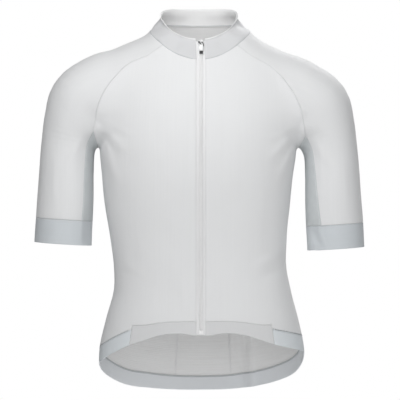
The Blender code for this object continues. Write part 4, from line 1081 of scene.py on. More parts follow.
class Workroom:
    """Turns points into dressed pieces and keeps the materials."""

    def __init__(self) -> None:
        """Starts with no materials made."""
        self.made: dict[str, bpy.types.Material] = {}

    def material(self, finish: Finish) -> bpy.types.Material:
        """The finish's material, made once.

        Args:
            finish: The finish.

        Returns:
            The material.
        """
        if finish.name not in self.made:
            self.made[finish.name] = finish.make()
        return self.made[finish.name]

    def piece(self, name: str, shape: Shape, finishes: Sequence[Finish], slot: str,
              body: str = "garment", replaces: Sequence[str] = ()) -> bpy.types.Object:
        """Makes a dressed piece from a shape.

        Args:
            name: The piece's name.
            shape: Its shape, in place. It is freed.
            finishes: Its finishes, in the order of its material indices.
            slot: The record's material slot; not used.
            body: The body that it rides on.
            replaces: The CAD nodes that it stands for.

        Returns:
            The piece.
        """
        mesh = bpy.data.meshes.new(name)
        shape.to_mesh(mesh)
        shape.free()
        for finish in finishes:
            mesh.materials.append(self.material(finish))
        mesh.shade_smooth()
        item = bpy.data.objects.new(name, mesh)
        bpy.context.scene.collection.objects.link(item)
        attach(item, body)
        if replaces:
            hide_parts(*replaces)
        LOG.info("%s: %d faces", name, len(mesh.polygons))
        return item

    def sheet(self, name: str, grid: Points, thickness: float, finishes: Sequence[Finish], slot: str,
              reference: int | None = None, closed: bool = False, replaces: Sequence[str] = (),
              edge: float = 0.00045) -> bpy.types.Object:
        """Makes a wall of cloth from the points of its outside.

        Args:
            name: The piece's name.
            grid: Its outside, rows from bottom to top, columns so that the outside faces out.
            thickness: The wall's thickness.
            finishes: The outside's finish and the inside's.
            slot: The record's material slot.
            reference: The column that the knit runs straight along, or None for the middle one.
            closed: Whether the last column meets the first.
            replaces: The CAD nodes that it stands for.
            edge: How far the cut edges are rounded.

        Returns:
            The piece.
        """
        rows, columns = grid.shape[:2]
        across = distances(grid)
        column = columns // 2 if reference is None else reference
        across -= across[:, column:column + 1]
        up = distances(grid[:, column])
        shape = bmesh.new()
        bmesh.ops.create_grid(shape, x_segments=columns - 1, y_segments=rows - 1, size=0.5)
        shape.verts.ensure_lookup_table()
        cell = [(round((v.co.y + 0.5) * (rows - 1)), round((v.co.x + 0.5) * (columns - 1)))
                for v in shape.verts]
        layer = shape.loops.layers.uv.new("cloth")
        for face in shape.faces:
            for loop in face.loops:
                row, place = cell[loop.vert.index]
                loop[layer].uv = (across[row, place], up[row])
        for vertex, (row, place) in zip(shape.verts, cell):
            vertex.co = grid[row, place]
        if closed:
            bmesh.ops.remove_doubles(shape, verts=shape.verts, dist=1e-6)
        item = self.piece(name, shape, finishes, slot, replaces=replaces)
        wall = item.modifiers.new("wall", "SOLIDIFY")
        wall.thickness = thickness
        wall.offset = -1.0
        wall.material_offset = 1
        wall.material_offset_rim = 0
        rim = item.modifiers.new("rounded_edge", "BEVEL")
        rim.width = edge
        rim.segments = 2
        rim.limit_method = "ANGLE"
        rim.angle_limit = math.radians(55)
        return item

    def row(self, unit_shape: Shape, count: int, pitch: float) -> Points:
        """Repeats a shape along X by doubling it, in place.

        Args:
            unit_shape: The shape, which is then the whole row.
            count: How many there are in the end.
            pitch: How far apart they are.

        Returns:
            The row's points.
        """
        made = 1
        while made < count:
            geometry = list(unit_shape.verts) + list(unit_shape.edges) + list(unit_shape.faces)
            if 2 * made > count:
                limit = (count - made - 0.5) * pitch
                keep = {v for v in unit_shape.verts if v.co.x < limit}
                geometry = [item for item in geometry if keep.issuperset(getattr(item, "verts", [item]))]
            copy = bmesh.ops.duplicate(unit_shape, geom=geometry)
            moved = [item for item in copy["geom"] if isinstance(item, bmesh.types.BMVert)]
            bmesh.ops.translate(unit_shape, vec=(made * pitch, 0, 0), verts=moved)
            made = min(count, 2 * made)
        return np.array([v.co for v in unit_shape.verts])

    def bend(self, shape: Shape, points: Points, line: Points, out: Points) -> None:
        """Lays a straight row along a line: X runs along it, Y across it and Z out.

        Args:
            shape: The row.
            points: The row's points.
            line: The line's points.
            out: The direction out at each of them.
        """
        place = distances(line)
        along, across = ways(line, out)
        read = [np.stack([np.interp(points[:, 0], place, values[:, axis]) for axis in range(3)], axis=1)
                for values in (line, along, across, out)]
        over = np.clip(points[:, 0], None, 0) + np.clip(points[:, 0] - place[-1], 0, None)
        moved = read[0] + over[:, None] * read[1] + points[:, 1:2] * read[2] + points[:, 2:3] * read[3]
        for vertex, spot in zip(shape.verts, moved):
            vertex.co = spot


ROOM = Workroom()


@dataclass
class Sewing:
    """Rows of small stitches on the cloth, gathered into one piece."""

    name: str
    finish: Finish
    slot: str
    length: float = 0.0026
    pitch: float = 0.0034
    width: float = 0.00062
    rise: float = 0.00034
    whole: Shape = field(default_factory=bmesh.new)

    def sew(self, line: Points, out: Points, aside: float = 0.0) -> None:
        """Adds a row of stitches beside a line.

        Args:
            line: The line's points on the cloth.
            out: The direction out at each of them.
            aside: How far the row lies to the left of the line, seen from outside.
        """
        path = line + aside * ways(line, out)[1]
        self.lay(FORM.project(path, 3) if aside else path, out)

    def sew_both(self, line: Points, out: Points, aside: float) -> None:
        """Adds a row of stitches on each side of a line."""
        for way in (aside, -aside):
            self.sew(line, out, way)

    def lay(self, path: Points, out: Points) -> None:
        """Adds a row of stitches right on a path.

        Args:
            path: The path's points.
            out: The direction out at each of them.
        """
        count = max(1, int((length_of(path) - self.length) / self.pitch) + 1)
        stitch = bmesh.new()
        bmesh.ops.create_uvsphere(stitch, u_segments=6, v_segments=4, radius=0.5)
        lying = Matrix.Rotation(math.pi / 2, 3, "Y")
        bmesh.ops.rotate(stitch, cent=(0, 0, 0), matrix=lying, verts=stitch.verts)
        bmesh.ops.scale(stitch, vec=(self.length, self.width, 2 * self.rise), verts=stitch.verts)
        bmesh.ops.translate(stitch, vec=(self.length / 2, 0, 0), verts=stitch.verts)
        points = ROOM.row(stitch, count, self.pitch)
        ROOM.bend(stitch, points, path, out)
        join(self.whole, stitch)

    def finish_off(self) -> bpy.types.Object:
        """Makes the piece."""
        return ROOM.piece(self.name, self.whole, [self.finish], self.slot)


@dataclass
class SeamBack:
    """Overlocked edges behind a seam, as a narrow strip on the inside of the cloth."""

    half_width: float = 0.0026
    wall: float = 0.0007
    clear: float = 0.00012
    columns: tuple[float, ...] = (-1.0, -0.55, 0.0, 0.55, 1.0)

    def lay(self, name: str, line: Points, out: Points, cloth: float, finish: Finish, slot: str,
            half_width: float | None = None) -> None:
        """Makes the strip.

        Args:
            name: The piece's name.
            line: The seam's points on the outside of the cloth.
            out: The direction out at each of them.
            cloth: The cloth's thickness.
            finish: The strip's finish.
            slot: The record's material slot.
            half_width: Half the strip's width, where it isn't the usual one.
        """
        across = ways(line, out)[1]
        level = line - (cloth + self.clear) * out
        half_width = half_width or self.half_width
        shares = np.array(self.columns)
        dip = self.wall * 0.5 * np.abs(shares)
        grid = np.stack([level + half_width * s * across - d * out for s, d in zip(shares, dip)], axis=1)
        grid = grid[:, ::-1]
        ROOM.sheet(name, grid, self.wall, [finish, finish], slot, edge=0.0002)


# ---- garment


@dataclass
class FrontHalf:
    """Front panel and its turned hem piece, on one side."""

    side: Side
    columns_hem: int = 6
    columns_grip: int = 5
    front_start: float = 8.4
    grip_end: float = 55.0
    grip_end_gap: float = 0.12
    zip_edge_angle: float = 3.5
    rows_band: int = 14
    facing_columns: int = 3
    cut: Pair = (0.228, 0.59)
    cut_area: float = 0.0895
    band_cut: Pair = (0.118, 0.033)
    band_area: float = 0.0027

    def lay_out(self, seam_front: Points, flank: Points) -> None:
        """Works out the panel's grid and the lines that other pieces need.

        Args:
            seam_front: The front raglan seam.
            flank: The side seam.
        """
        side, fine = self.side, LINES.fine
        end, gap = self.grip_end, self.grip_end_gap
        self.hem_angles = np.linspace(self.front_start, end - gap, self.columns_hem * fine)
        self.grip_angles = np.linspace(end + gap, 90.0, self.columns_grip * fine + 1)
        hem_top = LINES.hem(self.hem_angles, side, "front_band")
        grip_top = LINES.hem(self.grip_angles, side, "grip_band")
        grip_top[-1] = flank[0]
        rows = (LINES.rows_body + LINES.rows_yoke) * fine
        self.edge = self.zip_line(LINES.zip_gap, hem_top[0][2], rows)
        self.fold = self.zip_line(LINES.front_fold, hem_top[0][2], rows)
        self.fold[0] = hem_top[0]
        bottom = np.concatenate([hem_top, grip_top])
        start = math.asin(side.value * self.fold[-1][0] / LINES.neck_half_width)
        self.neck_angles = start + (LINES.front_seam - start) * even(len(bottom) - 1)
        top = LINES.neckline(side.value * self.neck_angles)
        top[0], top[-1] = self.fold[-1], seam_front[-1]
        panel = sheet_between(self.fold, np.concatenate([flank, seam_front[1:]]), bottom, top)
        shares = even(self.facing_columns)[:-1, None]
        facing = [FORM.project(self.edge + (self.fold - self.edge) * share, 3) for share in shares]
        self.panel = np.concatenate([np.stack(facing, axis=1), panel], axis=1)
        self.panel[:, 0] = self.edge
        self.hem_top = np.concatenate([self.panel[0, :self.facing_columns], hem_top])
        self.hem_low = self.low_edge()

    def zip_line(self, beside: float, low: float, rows: int) -> Points:
        """Line of the front beside the zip, from a low height to the neckline.

        Args:
            beside: Its distance from the zip's middle.
            low: Its lowest height.
            rows: How many cells it gets.

        Returns:
            The line.
        """
        x = LINES.zip_x + self.side.value * beside
        top = LINES.neckline(np.array([math.asin(x / LINES.neck_half_width)]))[0]
        line = FORM.cast(np.full(rows + 1, x), low + (top[2] - low) * even(rows), Face.FRONT)
        line[-1] = top
        return line

    def low_edge(self) -> Points:
        """Lower edge of the hem piece.

        Returns:
            The edge, from the zip outwards.
        """
        start = LINES.hem(np.array([self.zip_edge_angle]), self.side)[0]
        low = LINES.hem(self.hem_angles, self.side)
        shares = even(self.facing_columns)[:-1]
        x = self.edge[0][0] + (low[0][0] - self.edge[0][0]) * shares
        z = start[2] + (low[0][2] - start[2]) * shares
        return np.concatenate([FORM.cast(x, z, Face.FRONT), low])

    def build(self) -> None:
        """Makes the panel and the hem piece."""
        word = self.side.word
        outer = "right" if self.side is Side.LEFT else "left"
        grid = drawn_in(facing_out(self.panel, self.side), f"bottom top {outer}")
        column = 0 if self.side is Side.LEFT else -1
        front = ROOM.sheet(f"front_{word}_cloth", grid, CLOTH, [WHITE, WHITE_REAR_LIT], "knit",
                           reference=column % grid.shape[1], replaces=[f"front_{word}"])
        band = self.hem_low + (self.hem_top - self.hem_low) * even(self.rows_band)[:, None, None]
        band = FORM.project(band)
        band[-1] = self.hem_top
        grid = drawn_in(facing_out(band, self.side), "top")
        hem = ROOM.sheet(f"front_hem_{word}_cloth", grid, BAND_WALL, [HEM_WHITE_SHADED, WHITE_REAR_LIT], "knit",
                         replaces=[f"front_hem_{word}"])
        self.hem_grid = band


def facing_out(grid: Points, side: Side) -> Points:
    """Turns the columns of a grid made from the middle outwards so that its outside faces out."""
    return grid if side is Side.LEFT else grid[:, ::-1]


def drawn_in(grid: Points, borders: str, closed: bool = False) -> Points:
    """Draws the named borders of a grid in from their seams by half the gap.

    Args:
        grid: The grid, whose first row is its bottom and first column its left.
        borders: The borders' names, parted by spaces.
        closed: Whether the grid's columns go right round.

    Returns:
        The new grid.
    """
    shift = np.zeros_like(grid)
    ends = {"bottom": (0, 1, True), "top": (-1, -2, True), "left": (0, 1, False), "right": (-1, -2, False)}
    for border in borders.split():
        edge_at, next_at, is_row = ends[border]
        edge, inner = (grid[edge_at], grid[next_at]) if is_row else (grid[:, edge_at], grid[:, next_at])
        run = np.roll(edge, -1, axis=0) - np.roll(edge, 1, axis=0) if closed else np.gradient(edge, axis=0)
        run = unit(run)
        way = inner - edge
        way = unit(way - (way * run).sum(axis=1)[:, None] * run) * SEAM_GAP / 2
        if is_row:
            shift[edge_at] += way
        else:
            shift[:, edge_at] += way
    return grid + shift


@dataclass
class Sleeve:
    """Raglan sleeve, its under-sleeve panel and its cuff, on one side."""

    side: Side
    rows_cuff: int = 20
    cut: Pair = (0.265, 0.425)
    cut_area: float = 0.083
    under_cut: Pair = (0.115, 0.155)
    under_area: float = 0.013
    cuff_cut: Pair = (0.315, 0.042)

    def lay_out(self, seam_front: Points, seam_back: Points) -> None:
        """Works out the grids of the sleeve, the under-sleeve panel and the cuff.

        Args:
            seam_front: The front raglan seam.
            seam_back: The back raglan seam.
        """
        side, fine = self.side, LINES.fine
        start = LINES.rows_under * fine
        self.under_front = LINES.under(side, Face.FRONT, seam_front[start])
        self.under_back = LINES.under(side, Face.BACK, seam_back[start])
        front = np.concatenate([self.under_front, seam_front[start + 1:]])
        back = np.concatenate([self.under_back, seam_back[start + 1:]])
        columns = LINES.columns_sleeve * fine
        self.neck_angles = np.linspace(LINES.front_seam, LINES.back_seam, columns + 1)
        top = LINES.neckline(side.value * self.neck_angles)
        top[0], top[-1] = seam_front[-1], seam_back[-1]
        ridge_low = LINES.arm(side, np.array([math.pi]), np.array([LINES.cuff_seam]))[0]
        ridge = LINES.ridge(side, ridge_low, top[columns // 2], len(front))
        first = LINES.under_angles(side, Face.FRONT)[1]
        last = 2 * math.pi - LINES.under_angles(side, Face.BACK)[1]
        around = np.linspace(first, last, columns + 1)
        outer = LINES.arm(side, around, np.full(len(around), LINES.cuff_seam))
        outer[0], outer[-1] = self.under_front[0], self.under_back[0]
        self.sleeve = sheet_over(front, ridge, back, outer, top)

        around = np.linspace(last - 2 * math.pi, first, 2 * start + 1)
        inner = LINES.arm(side, around, np.full(len(around), LINES.cuff_seam))
        inner[0], inner[-1] = self.under_back[0], self.under_front[0]
        under_top = np.concatenate([seam_back[start:0:-1], seam_front[:start + 1]])
        heights = np.linspace(LINES.cuff_seam, LINES.under_middle_top, 5)
        anchors = np.concatenate([LINES.arm(side, 0 * heights, heights), [LINES.armpit_point(side)]])
        middle = stretch(eased(anchors), even(LINES.rows_arm * fine))
        self.panel = sheet_over(self.under_back, middle, self.under_front, inner, under_top)
        self.ring = np.concatenate([outer[:-1], inner])

    def build(self) -> None:
        """Makes the three pieces."""
        side, word = self.side, self.side.word
        grid = drawn_in(facing_out(self.sleeve, side), "bottom top left right")
        sleeve = ROOM.sheet(f"sleeve_{word}_cloth", grid, CLOTH, [SLEEVE_WHITE_SHADED, WHITE_REAR_LIT], "knit",
                            replaces=[f"sleeve_{word}"])
        grid = drawn_in(facing_out(self.panel, side), "bottom top left right")
        under = ROOM.sheet(f"under_sleeve_{word}_cloth", grid, CLOTH, [UNDER_MESH_SHADED, UNDER_MESH_SHADED], "mesh",
                           replaces=[f"under_sleeve_{word}"])
        low = self.ring + np.array([0.0, 0.0, LINES.cuff_edge - LINES.cuff_seam])
        band = FORM.project(low + (self.ring - low) * even(self.rows_cuff)[:, None, None])
        band[-1] = self.ring
        self.cuff = band
        grid = facing_out(band, side)
        grid[-1] += [0.0, 0.0, -SEAM_GAP / 2]
        cuff = ROOM.sheet(f"cuff_{word}_cloth", grid, CUFF_WALL, [CUFF_BAND, CUFF_BAND], "cuff_elastic",
                          closed=True, replaces=[f"cuff_{word}"])


@dataclass
class Back:
    """Back panel with its pockets and their elastic binding."""

    columns: int = 20
    pocket_side: int = 2
    pocket_top: float = -0.438
    pocket_dividers: Pair = (-0.041, 0.053)
    pocket_corner: float = 0.075
    pocket_fall: float = 0.2
    pocket_rows: int = 44
    pocket_bulge: float = 0.0032
    pocket_fullness: Triple = (0.7, 1.0, 0.8)
    pocket_rise: Pair = (1.25, 0.72)
    binding_height: float = 0.009
    binding_lift: float = 0.0005
    binding_rows: int = 6
    cut: Pair = (0.485, 0.655)
    cut_area: float = 0.235
    pocket_cut: Pair = (0.365, 0.165)
    pocket_area: float = 0.051
    binding_cut: Pair = (0.31, 0.01)

    def lay_out(self, flanks: dict[Side, Points], seams: dict[Side, Points]) -> None:
        """Works out the panel's grid.

        Args:
            flanks: The side seams.
            seams: The back raglan seams.
        """
        fine = LINES.fine
        angles = np.linspace(90.0, 180.0, self.columns // 2 * fine + 1)
        half = {side: LINES.hem(angles, side, "grip_band") for side in Side}
        for side in Side:
            half[side][0] = flanks[side][0]
        bottom = np.concatenate([half[Side.LEFT], half[Side.RIGHT][-2::-1]])
        self.neck_angles = np.linspace(LINES.back_seam, 2 * math.pi - LINES.back_seam, self.columns * fine + 1)
        top = LINES.neckline(self.neck_angles)
        top[0], top[-1] = seams[Side.LEFT][-1], seams[Side.RIGHT][-1]
        left, right = [np.concatenate([flanks[side], seams[side][1:]]) for side in Side]
        self.panel = sheet_between(left, right, bottom, top)
        self.angles = angles

    def pocket_heights(self, strip: Points) -> Points:
        """Height of the pockets' top edge in each column."""
        across = np.array([np.interp(self.pocket_top, c[:, 2], c[:, 0]) for c in strip.transpose(1, 0, 2)])
        return self.pocket_top - self.pocket_fall * np.clip(np.abs(across) - self.pocket_corner, 0, None)

    def at_heights(self, strip: Points, values: Points, heights: Points) -> Points:
        """Values of a panel's points read at a height in each column.

        Args:
            strip: The points.
            values: The value at each.
            heights: Each column's height.

        Returns:
            Each column's value.
        """
        found = [
            [np.interp(height, strip[:, column, 2], values[:, column, axis]) for axis in range(3)]
            for column, height in enumerate(heights)
        ]
        return np.array(found)

    def bulge(self, across: Points, up: float) -> Points:
        """How far the pockets stand off the back between their dividers, at a share of their height.

        Args:
            across: The X of some points.
            up: The share of the height.

        Returns:
            The distance of each.
        """
        edges = np.array([across.min(), *self.pocket_dividers, across.max()])
        cell = np.clip(np.searchsorted(edges, across, side="right") - 1, 0, 2)
        share = np.clip((across - edges[cell]) / (edges[cell + 1] - edges[cell]), 0, 1)
        fullness = np.array(self.pocket_fullness)[cell]
        speed, turn = self.pocket_rise
        height = math.sin(math.pi * min(1.0, up * speed) * turn) ** 0.8 if up > 0 else 0.0
        return self.pocket_bulge * fullness * np.sin(math.pi * share) ** 0.7 * height

    def build(self) -> None:
        """Makes the panel, the pockets and the binding."""
        grid = drawn_in(self.panel, "bottom top left right")
        back = ROOM.sheet("back_cloth", grid, CLOTH, [WHITE, WHITE_REAR_LIT], "knit", replaces=["back"])
        margin = self.pocket_side * LINES.fine
        strip = self.panel[:, margin:-margin]
        away = FORM.outward(strip)
        top, low = self.pocket_heights(strip), strip[0, :, 2]
        rows, outs = [], []
        for up in even(self.pocket_rows):
            level = low + (top - low) * up
            base, out = self.at_heights(strip, strip, level), self.at_heights(strip, away, level)
            stand = SEAM_GAP + CLOTH + self.bulge(base[:, 0], up)
            rows.append(base + stand[:, None] * out)
            outs.append(out)
        self.pockets, self.pocket_out = np.array(rows), np.array(outs)
        panel = ROOM.sheet("pocket_panel_cloth", drawn_in(self.pockets, "bottom"), CLOTH,
                           [POCKET_FACE, WHITE_REAR_LIT], "knit", replaces=["pocket_panel"])
        band = []
        for up in even(self.binding_rows):
            level = top + SEAM_GAP + (self.binding_height - SEAM_GAP) * up
            base, out = self.at_heights(strip, strip, level), self.at_heights(strip, away, level)
            stand = self.binding_lift + BAND_WALL + self.bulge(base[:, 0], 1.0) * (1 - 0.25 * up)
            band.append(base + stand[:, None] * out)
        self.binding = np.array(band)
        binding = ROOM.sheet("pocket_binding_cloth", self.binding, BAND_WALL, [CUFF_BAND, CUFF_BAND],
                             "cuff_elastic", replaces=["pocket_binding"])


@dataclass
class Gripper:
    """Elastic gripper band round the sides and the back of the hem."""

    rows: int = 14
    cut: Pair = (0.7, 0.028)

    def build(self, fronts: dict[Side, FrontHalf], back: Back) -> None:
        """Makes the band.

        Args:
            fronts: The front halves.
            back: The back.
        """
        tops, lows = [], []
        for side in Side:
            angles = np.concatenate([fronts[side].grip_angles, back.angles[1:]])
            top = LINES.hem(angles, side, "grip_band")
            top[len(fronts[side].grip_angles) - 1] = fronts[side].panel[0, -1]
            tops.append(top)
            lows.append(LINES.hem(angles, side))
        top = np.concatenate([tops[0], tops[1][-2::-1]])
        low = np.concatenate([lows[0], lows[1][-2::-1]])
        band = FORM.project(low + (top - low) * even(self.rows)[:, None, None])
        band[-1] = top
        self.band = band
        piece = ROOM.sheet("hem_gripper_cloth", drawn_in(band, "top"), BAND_WALL, [GRIP_BAND, GRIP_REAR_LIT],
                           "grip_elastic", replaces=["hem_gripper"])


@dataclass
class Collar:
    """Stand-up collar with a rolled top edge, whose top band has a painted highlight."""

    rows: int = 22
    top_half_width: float = 0.0677
    top_front: float = 0.062
    top_back: float = 0.06
    top_height: Triple = (0.03225, -0.0315, -0.00775)
    hollow: float = 0.0022
    belly: float = 0.0016
    lean: float = -0.0014
    roll: float = 0.0009
    roll_height: float = 0.0032
    roll_rows: tuple[float, ...] = (1.4, 1.05, 0.75, 0.5, 0.28, 0.12)
    painted_highlight_band: float = 0.0022
    rounding: float = 0.0008
    cut: Pair = (0.5, 0.04)
    cut_area: float = 0.0143
    soft: Columns = field(default_factory=lambda: table(
        "angle width depth slant",
        (-74, 10, -0.0034, 16),
        (-49, 8, 0.0019, 16),
        (-30, 6, -0.0012, 12),
        (30, 6, -0.0011, -10),
        (50, 8, 0.0022, -18),
        (86, 17, -0.0072, -12),
        (104, 9, 0.0008, 8),
        (-110, 9, 0.0009, -8),
        (158, 10, -0.0006, 6),
        (-150, 11, -0.0006, -8),
    ))

    def angles(self, fronts: dict[Side, FrontHalf], sleeves: dict[Side, Sleeve], back: Back) -> Points:
        """Angles round the neckline, from the wearer's left zip edge round the back to the right one.

        Args:
            fronts: The front halves.
            sleeves: The sleeves.
            back: The back.

        Returns:
            The angles in radians.
        """
        left_front, left_sleeve = fronts[Side.LEFT], sleeves[Side.LEFT]
        steps = left_front.facing_columns
        edges, folds = [
            {s: math.asin((LINES.zip_x + s.value * beside) / LINES.neck_half_width) * s.value for s in Side}
            for beside in (LINES.zip_gap, LINES.front_fold)
        ]
        left = np.linspace(edges[Side.LEFT], folds[Side.LEFT], steps + 1)[:-1]
        right = np.linspace(folds[Side.RIGHT], edges[Side.RIGHT], steps + 1)[1:]
        to_back = [left, left_front.neck_angles, left_sleeve.neck_angles[1:], back.neck_angles[1:]]
        sleeve = sleeves[Side.RIGHT].neck_angles[::-1][1:]
        front = fronts[Side.RIGHT].neck_angles[::-1][1:]
        from_back = 2 * math.pi - np.concatenate([sleeve, front, right])
        return np.concatenate([*to_back, from_back])

    def buckle(self, around: Points, up: Points) -> Points:
        """How far soft buckles push the collar out.

        Args:
            around: Angles round the neckline.
            up: Shares of the collar's height.

        Returns:
            The push at each point.
        """
        turn = np.degrees(np.where(around > math.pi, around - 2 * math.pi, around))
        push = np.zeros(np.broadcast_shapes(turn.shape, up.shape))
        for angle, width, depth, slant in zip(*self.soft.values()):
            push = push + depth * np.exp(-((turn - angle - slant * (up - 0.5)) / width) ** 2)
        return push * np.sin(math.pi * np.clip(up, 0, 1)) ** 0.8

    def lay_out(self, around: Points) -> None:
        """Works out the collar's grid.

        Args:
            around: Angles round the neckline.
        """
        low = LINES.neckline(around)
        edges = {side: LINES.zip_x + side.value * LINES.zip_gap for side in Side}
        ends = [side.value * math.asin(x / self.top_half_width) for side, x in edges.items()]
        share = (around - around[0]) / (around[-1] - around[0])
        turn = ends[0] + share * (2 * math.pi - ends[1] - ends[0])
        base, swing, dip = self.top_height
        depth = np.where(np.cos(turn) > 0, self.top_front, self.top_back)
        height = base + swing * np.cos(turn) + dip * np.cos(2 * turn)
        high = np.stack([self.top_half_width * np.sin(turn), -depth * np.cos(turn), height], axis=-1)
        high[:, 0] += self.lean
        tall = float(np.linalg.norm(high - low, axis=1).mean())
        near_top = 1 - np.array(self.roll_rows) * self.roll_height / tall
        shares = np.concatenate([even(self.rows)[even(self.rows) < near_top[0] - 0.01], near_top, [1.0]])
        up = shares[:, None, None]
        sides = np.abs(np.sin(around))[:, None] * unit(low)
        inward = 4 * up * (1 - up) * self.hollow - np.sin(2 * math.pi * up) * self.belly
        grid = low + (high - low) * up - inward * sides
        self.plain = grid
        bead = self.roll * np.sin(math.pi * smoothstep(shares, 1 - self.roll_height / tall, 1.06)) ** 0.7
        push = self.buckle(around[None], shares[:, None]) + bead[:, None]
        self.grid = grid + push[:, :, None] * grid_normals(grid)
        self.out = grid_normals(self.grid)

    def build(self) -> None:
        """Makes the collar, with a painted highlight on its top band."""
        grid = drawn_in(self.grid, "bottom")
        finishes = [COLLAR_FACE_SHADED, COLLAR_REAR_LIT, COLLAR_REAR_LIT]
        collar = ROOM.sheet("collar_cloth", grid, COLLAR_WALL, finishes, "collar_knit", replaces=["collar"],
                            edge=self.rounding)
        # Painted highlight: faces in the top band get the lighter collar finish, so the rolled edge reads
        # brighter.
        heights = collar.data.uv_layers[0].data
        rolled = max(corner.uv[1] for corner in heights) - self.painted_highlight_band
        for face in collar.data.polygons:
            if min(heights[corner].uv[1] for corner in face.loop_indices) > rolled:
                face.material_index = 1


@dataclass
class Zip:
    """Zip from the hem to the collar: tapes, teeth, box, slider and pull."""

    tape_half: float = 0.014
    tape_wall: float = 0.0009
    tape_depth: float = COLLAR_WALL + SEAM_GAP
    tape_lift: float = 0.001
    tape_short: float = 0.003
    spread: float = 0.0073
    spread_run: Pair = (0.001, 0.013)
    box_lift: float = 0.008
    tooth_pitch: float = 0.0021
    tooth_reach: float = 0.0029
    tooth_cross: float = 0.0009
    tooth_thick: float = 0.0019
    tooth_depth: float = 0.0001
    teeth_short: float = 0.0075
    bead_reach: Triple = (0.0001, 0.0015, 0.0029)
    bead_depth: float = 0.0005
    bead_wall: float = 0.001
    slider_height: float = -0.01278
    slider_out: float = 0.00018
    pivot_out: float = 0.00205
    pull_aside: float = 0.0005
    tape_columns: int = 8
    path_cells: int = 400
    box_drop: float = 0.001
    box: Blocks = (
        ((-0.0036, -0.0064, -0.0018), (0.0036, 0.0, 0.0006), 0.0007),
        ((-0.0027, -0.0058, 0.0004), (-0.0006, 0.0022, 0.0009), 0.0003),
        ((0.0006, -0.005, 0.0004), (0.0027, 0.0022, 0.0009), 0.0003),
    )
    shield: Triple = (0.004, -0.0062, 0.0042)
    shield_levels: Triple = (-0.0001, 0.0009, 0.0004)
    rear_share: Pair = (0.92, 0.96)
    rear_levels: Triple = (-0.0042, -0.0032, 0.0003)
    slider_blocks: Blocks = (
        ((-0.004, -0.0033, -0.0013), (-0.0033, 0.003, 0.0004), 0.0002),
        ((0.0033, -0.0033, -0.0013), (0.004, 0.003, 0.0004), 0.0002),
        ((-0.0014, 0.001, -0.0036), (0.0014, 0.005, 0.0004), 0.0002),
    )
    crown: tuple[float, ...] = (0.0011, -0.0018, 0.0019, 0.0009, 0.0036, 0.0006)
    bail_route: tuple[Pair, ...] = (
        (-0.0044, 0.0005), (-0.0026, 0.0002), (0.0, 0.0), (0.0018, -0.0004), (0.0034, -0.003),
        (0.0042, -0.0062), (0.0041, -0.008), (0.0033, -0.008), (0.0009, -0.0055), (-0.0013, -0.0033),
        (-0.0029, -0.0019), (-0.0046, -0.0003),
    )
    bail_radius: float = 0.00062
    tab_oval: tuple[float, ...] = (0.0038, -0.0168, -0.005, 0.0034)
    tab_levels: Triple = (-0.0008, 0.0008, 0.0004)
    inlay_oval: tuple[float, ...] = (0.0024, -0.0152, -0.009, 0.0018)
    inlay_levels: Triple = (0.0006, 0.0011, 0.0003)
    tip_oval: tuple[float, ...] = (0.003, -0.0219, -0.0167, 0.0007)
    tip_levels: Triple = (-0.00078, 0.00078, 0.00035)
    tip_ribs: Blocks = tuple(((-0.0021, y, 0.0006), (0.0021, y + 0.0005, 0.001), 0.0001)
                             for y in (-0.0182, -0.0193, -0.0204))
    tape_cut: Pair = (0.014, 0.515)

    def lay_out(self, fronts: dict[Side, FrontHalf], collar: Collar) -> None:
        """Works out the zip's path up the front and the collar.

        Args:
            fronts: The front halves.
            collar: The collar.
        """
        self.edges, self.folds = {}, {}
        for side, column in ((Side.LEFT, 0), (Side.RIGHT, -1)):
            front = fronts[side]
            fold_column = front.facing_columns if side is Side.LEFT else -1 - front.facing_columns
            hem_edge = front.hem_grid[:, 0]
            hem_fold = front.hem_grid[:, front.facing_columns]
            start = np.searchsorted(hem_edge[:, 2], hem_edge[0, 2] + self.tape_lift)
            self.edges[side] = np.concatenate([hem_edge[start:-1], front.edge, collar.plain[1:, column]])
            self.folds[side] = np.concatenate([hem_fold[start:-1], front.fold, collar.plain[1:, fold_column]])
        middle = (self.edges[Side.LEFT] + self.edges[Side.RIGHT]) / 2
        middle[:, 0] = LINES.zip_x
        self.path = read_line(middle, even(self.path_cells))
        along = unit(np.gradient(self.path, axis=0))
        self.out = unit(np.stack([0 * along[:, 0], -along[:, 2], along[:, 1]], axis=1))

    def standing(self, height: float) -> Matrix:
        """Place on the zip at a height: local Y runs up the zip and local Z faces out.

        Args:
            height: The height.

        Returns:
            The place.
        """
        spot = np.array([np.interp(height, self.path[:, 2], self.path[:, axis]) for axis in range(3)])
        out = np.array([np.interp(height, self.path[:, 2], self.out[:, axis]) for axis in range(3)])
        out = Vector(out).normalized()
        across = Vector((1.0, 0.0, 0.0))
        turn = Matrix((across, out.cross(across), out)).transposed()
        return Matrix.Translation(Vector(spot)) @ turn.to_4x4()

    def build_tapes(self) -> None:
        """Makes the two woven tapes."""
        for side in Side:
            edge, fold = self.edges[side], self.folds[side]
            from_top = length_of(edge) * (1 - shares_of(edge))
            keep = from_top > self.tape_short
            edge, fold, from_top = edge[keep], fold[keep], from_top[keep]
            along = unit(np.gradient(edge, axis=0))
            out = unit(np.cross(unit(fold - edge) * side.value, along))
            inner = SEAM_GAP / 2 + self.parting(from_top)
            columns = []
            for place in even(self.tape_columns):
                aside = inner + (self.tape_half - inner) * place
                over = np.clip((aside - LINES.zip_gap) / (LINES.front_fold - LINES.zip_gap), 0, 1)[:, None]
                point = edge + (fold - edge) * over
                inside = aside < LINES.zip_gap
                point[inside, 0] = LINES.zip_x + side.value * aside[inside]
                columns.append(point - self.tape_depth * out)
            grid = facing_out(np.stack(columns, axis=1), side)
            tape = ROOM.sheet(f"zip_tape_{side.word}_weave", grid, self.tape_wall, [TAPE, TAPE], "zip_tape",
                              replaces=[f"zip_tape_{side.word}"], edge=0.0002)

    def parting(self, from_top: Points) -> Points:
        """How far each half of the open zip lies from the middle, at distances from the collar's top."""
        return self.spread * (1 - smoothstep(from_top, *self.spread_run))

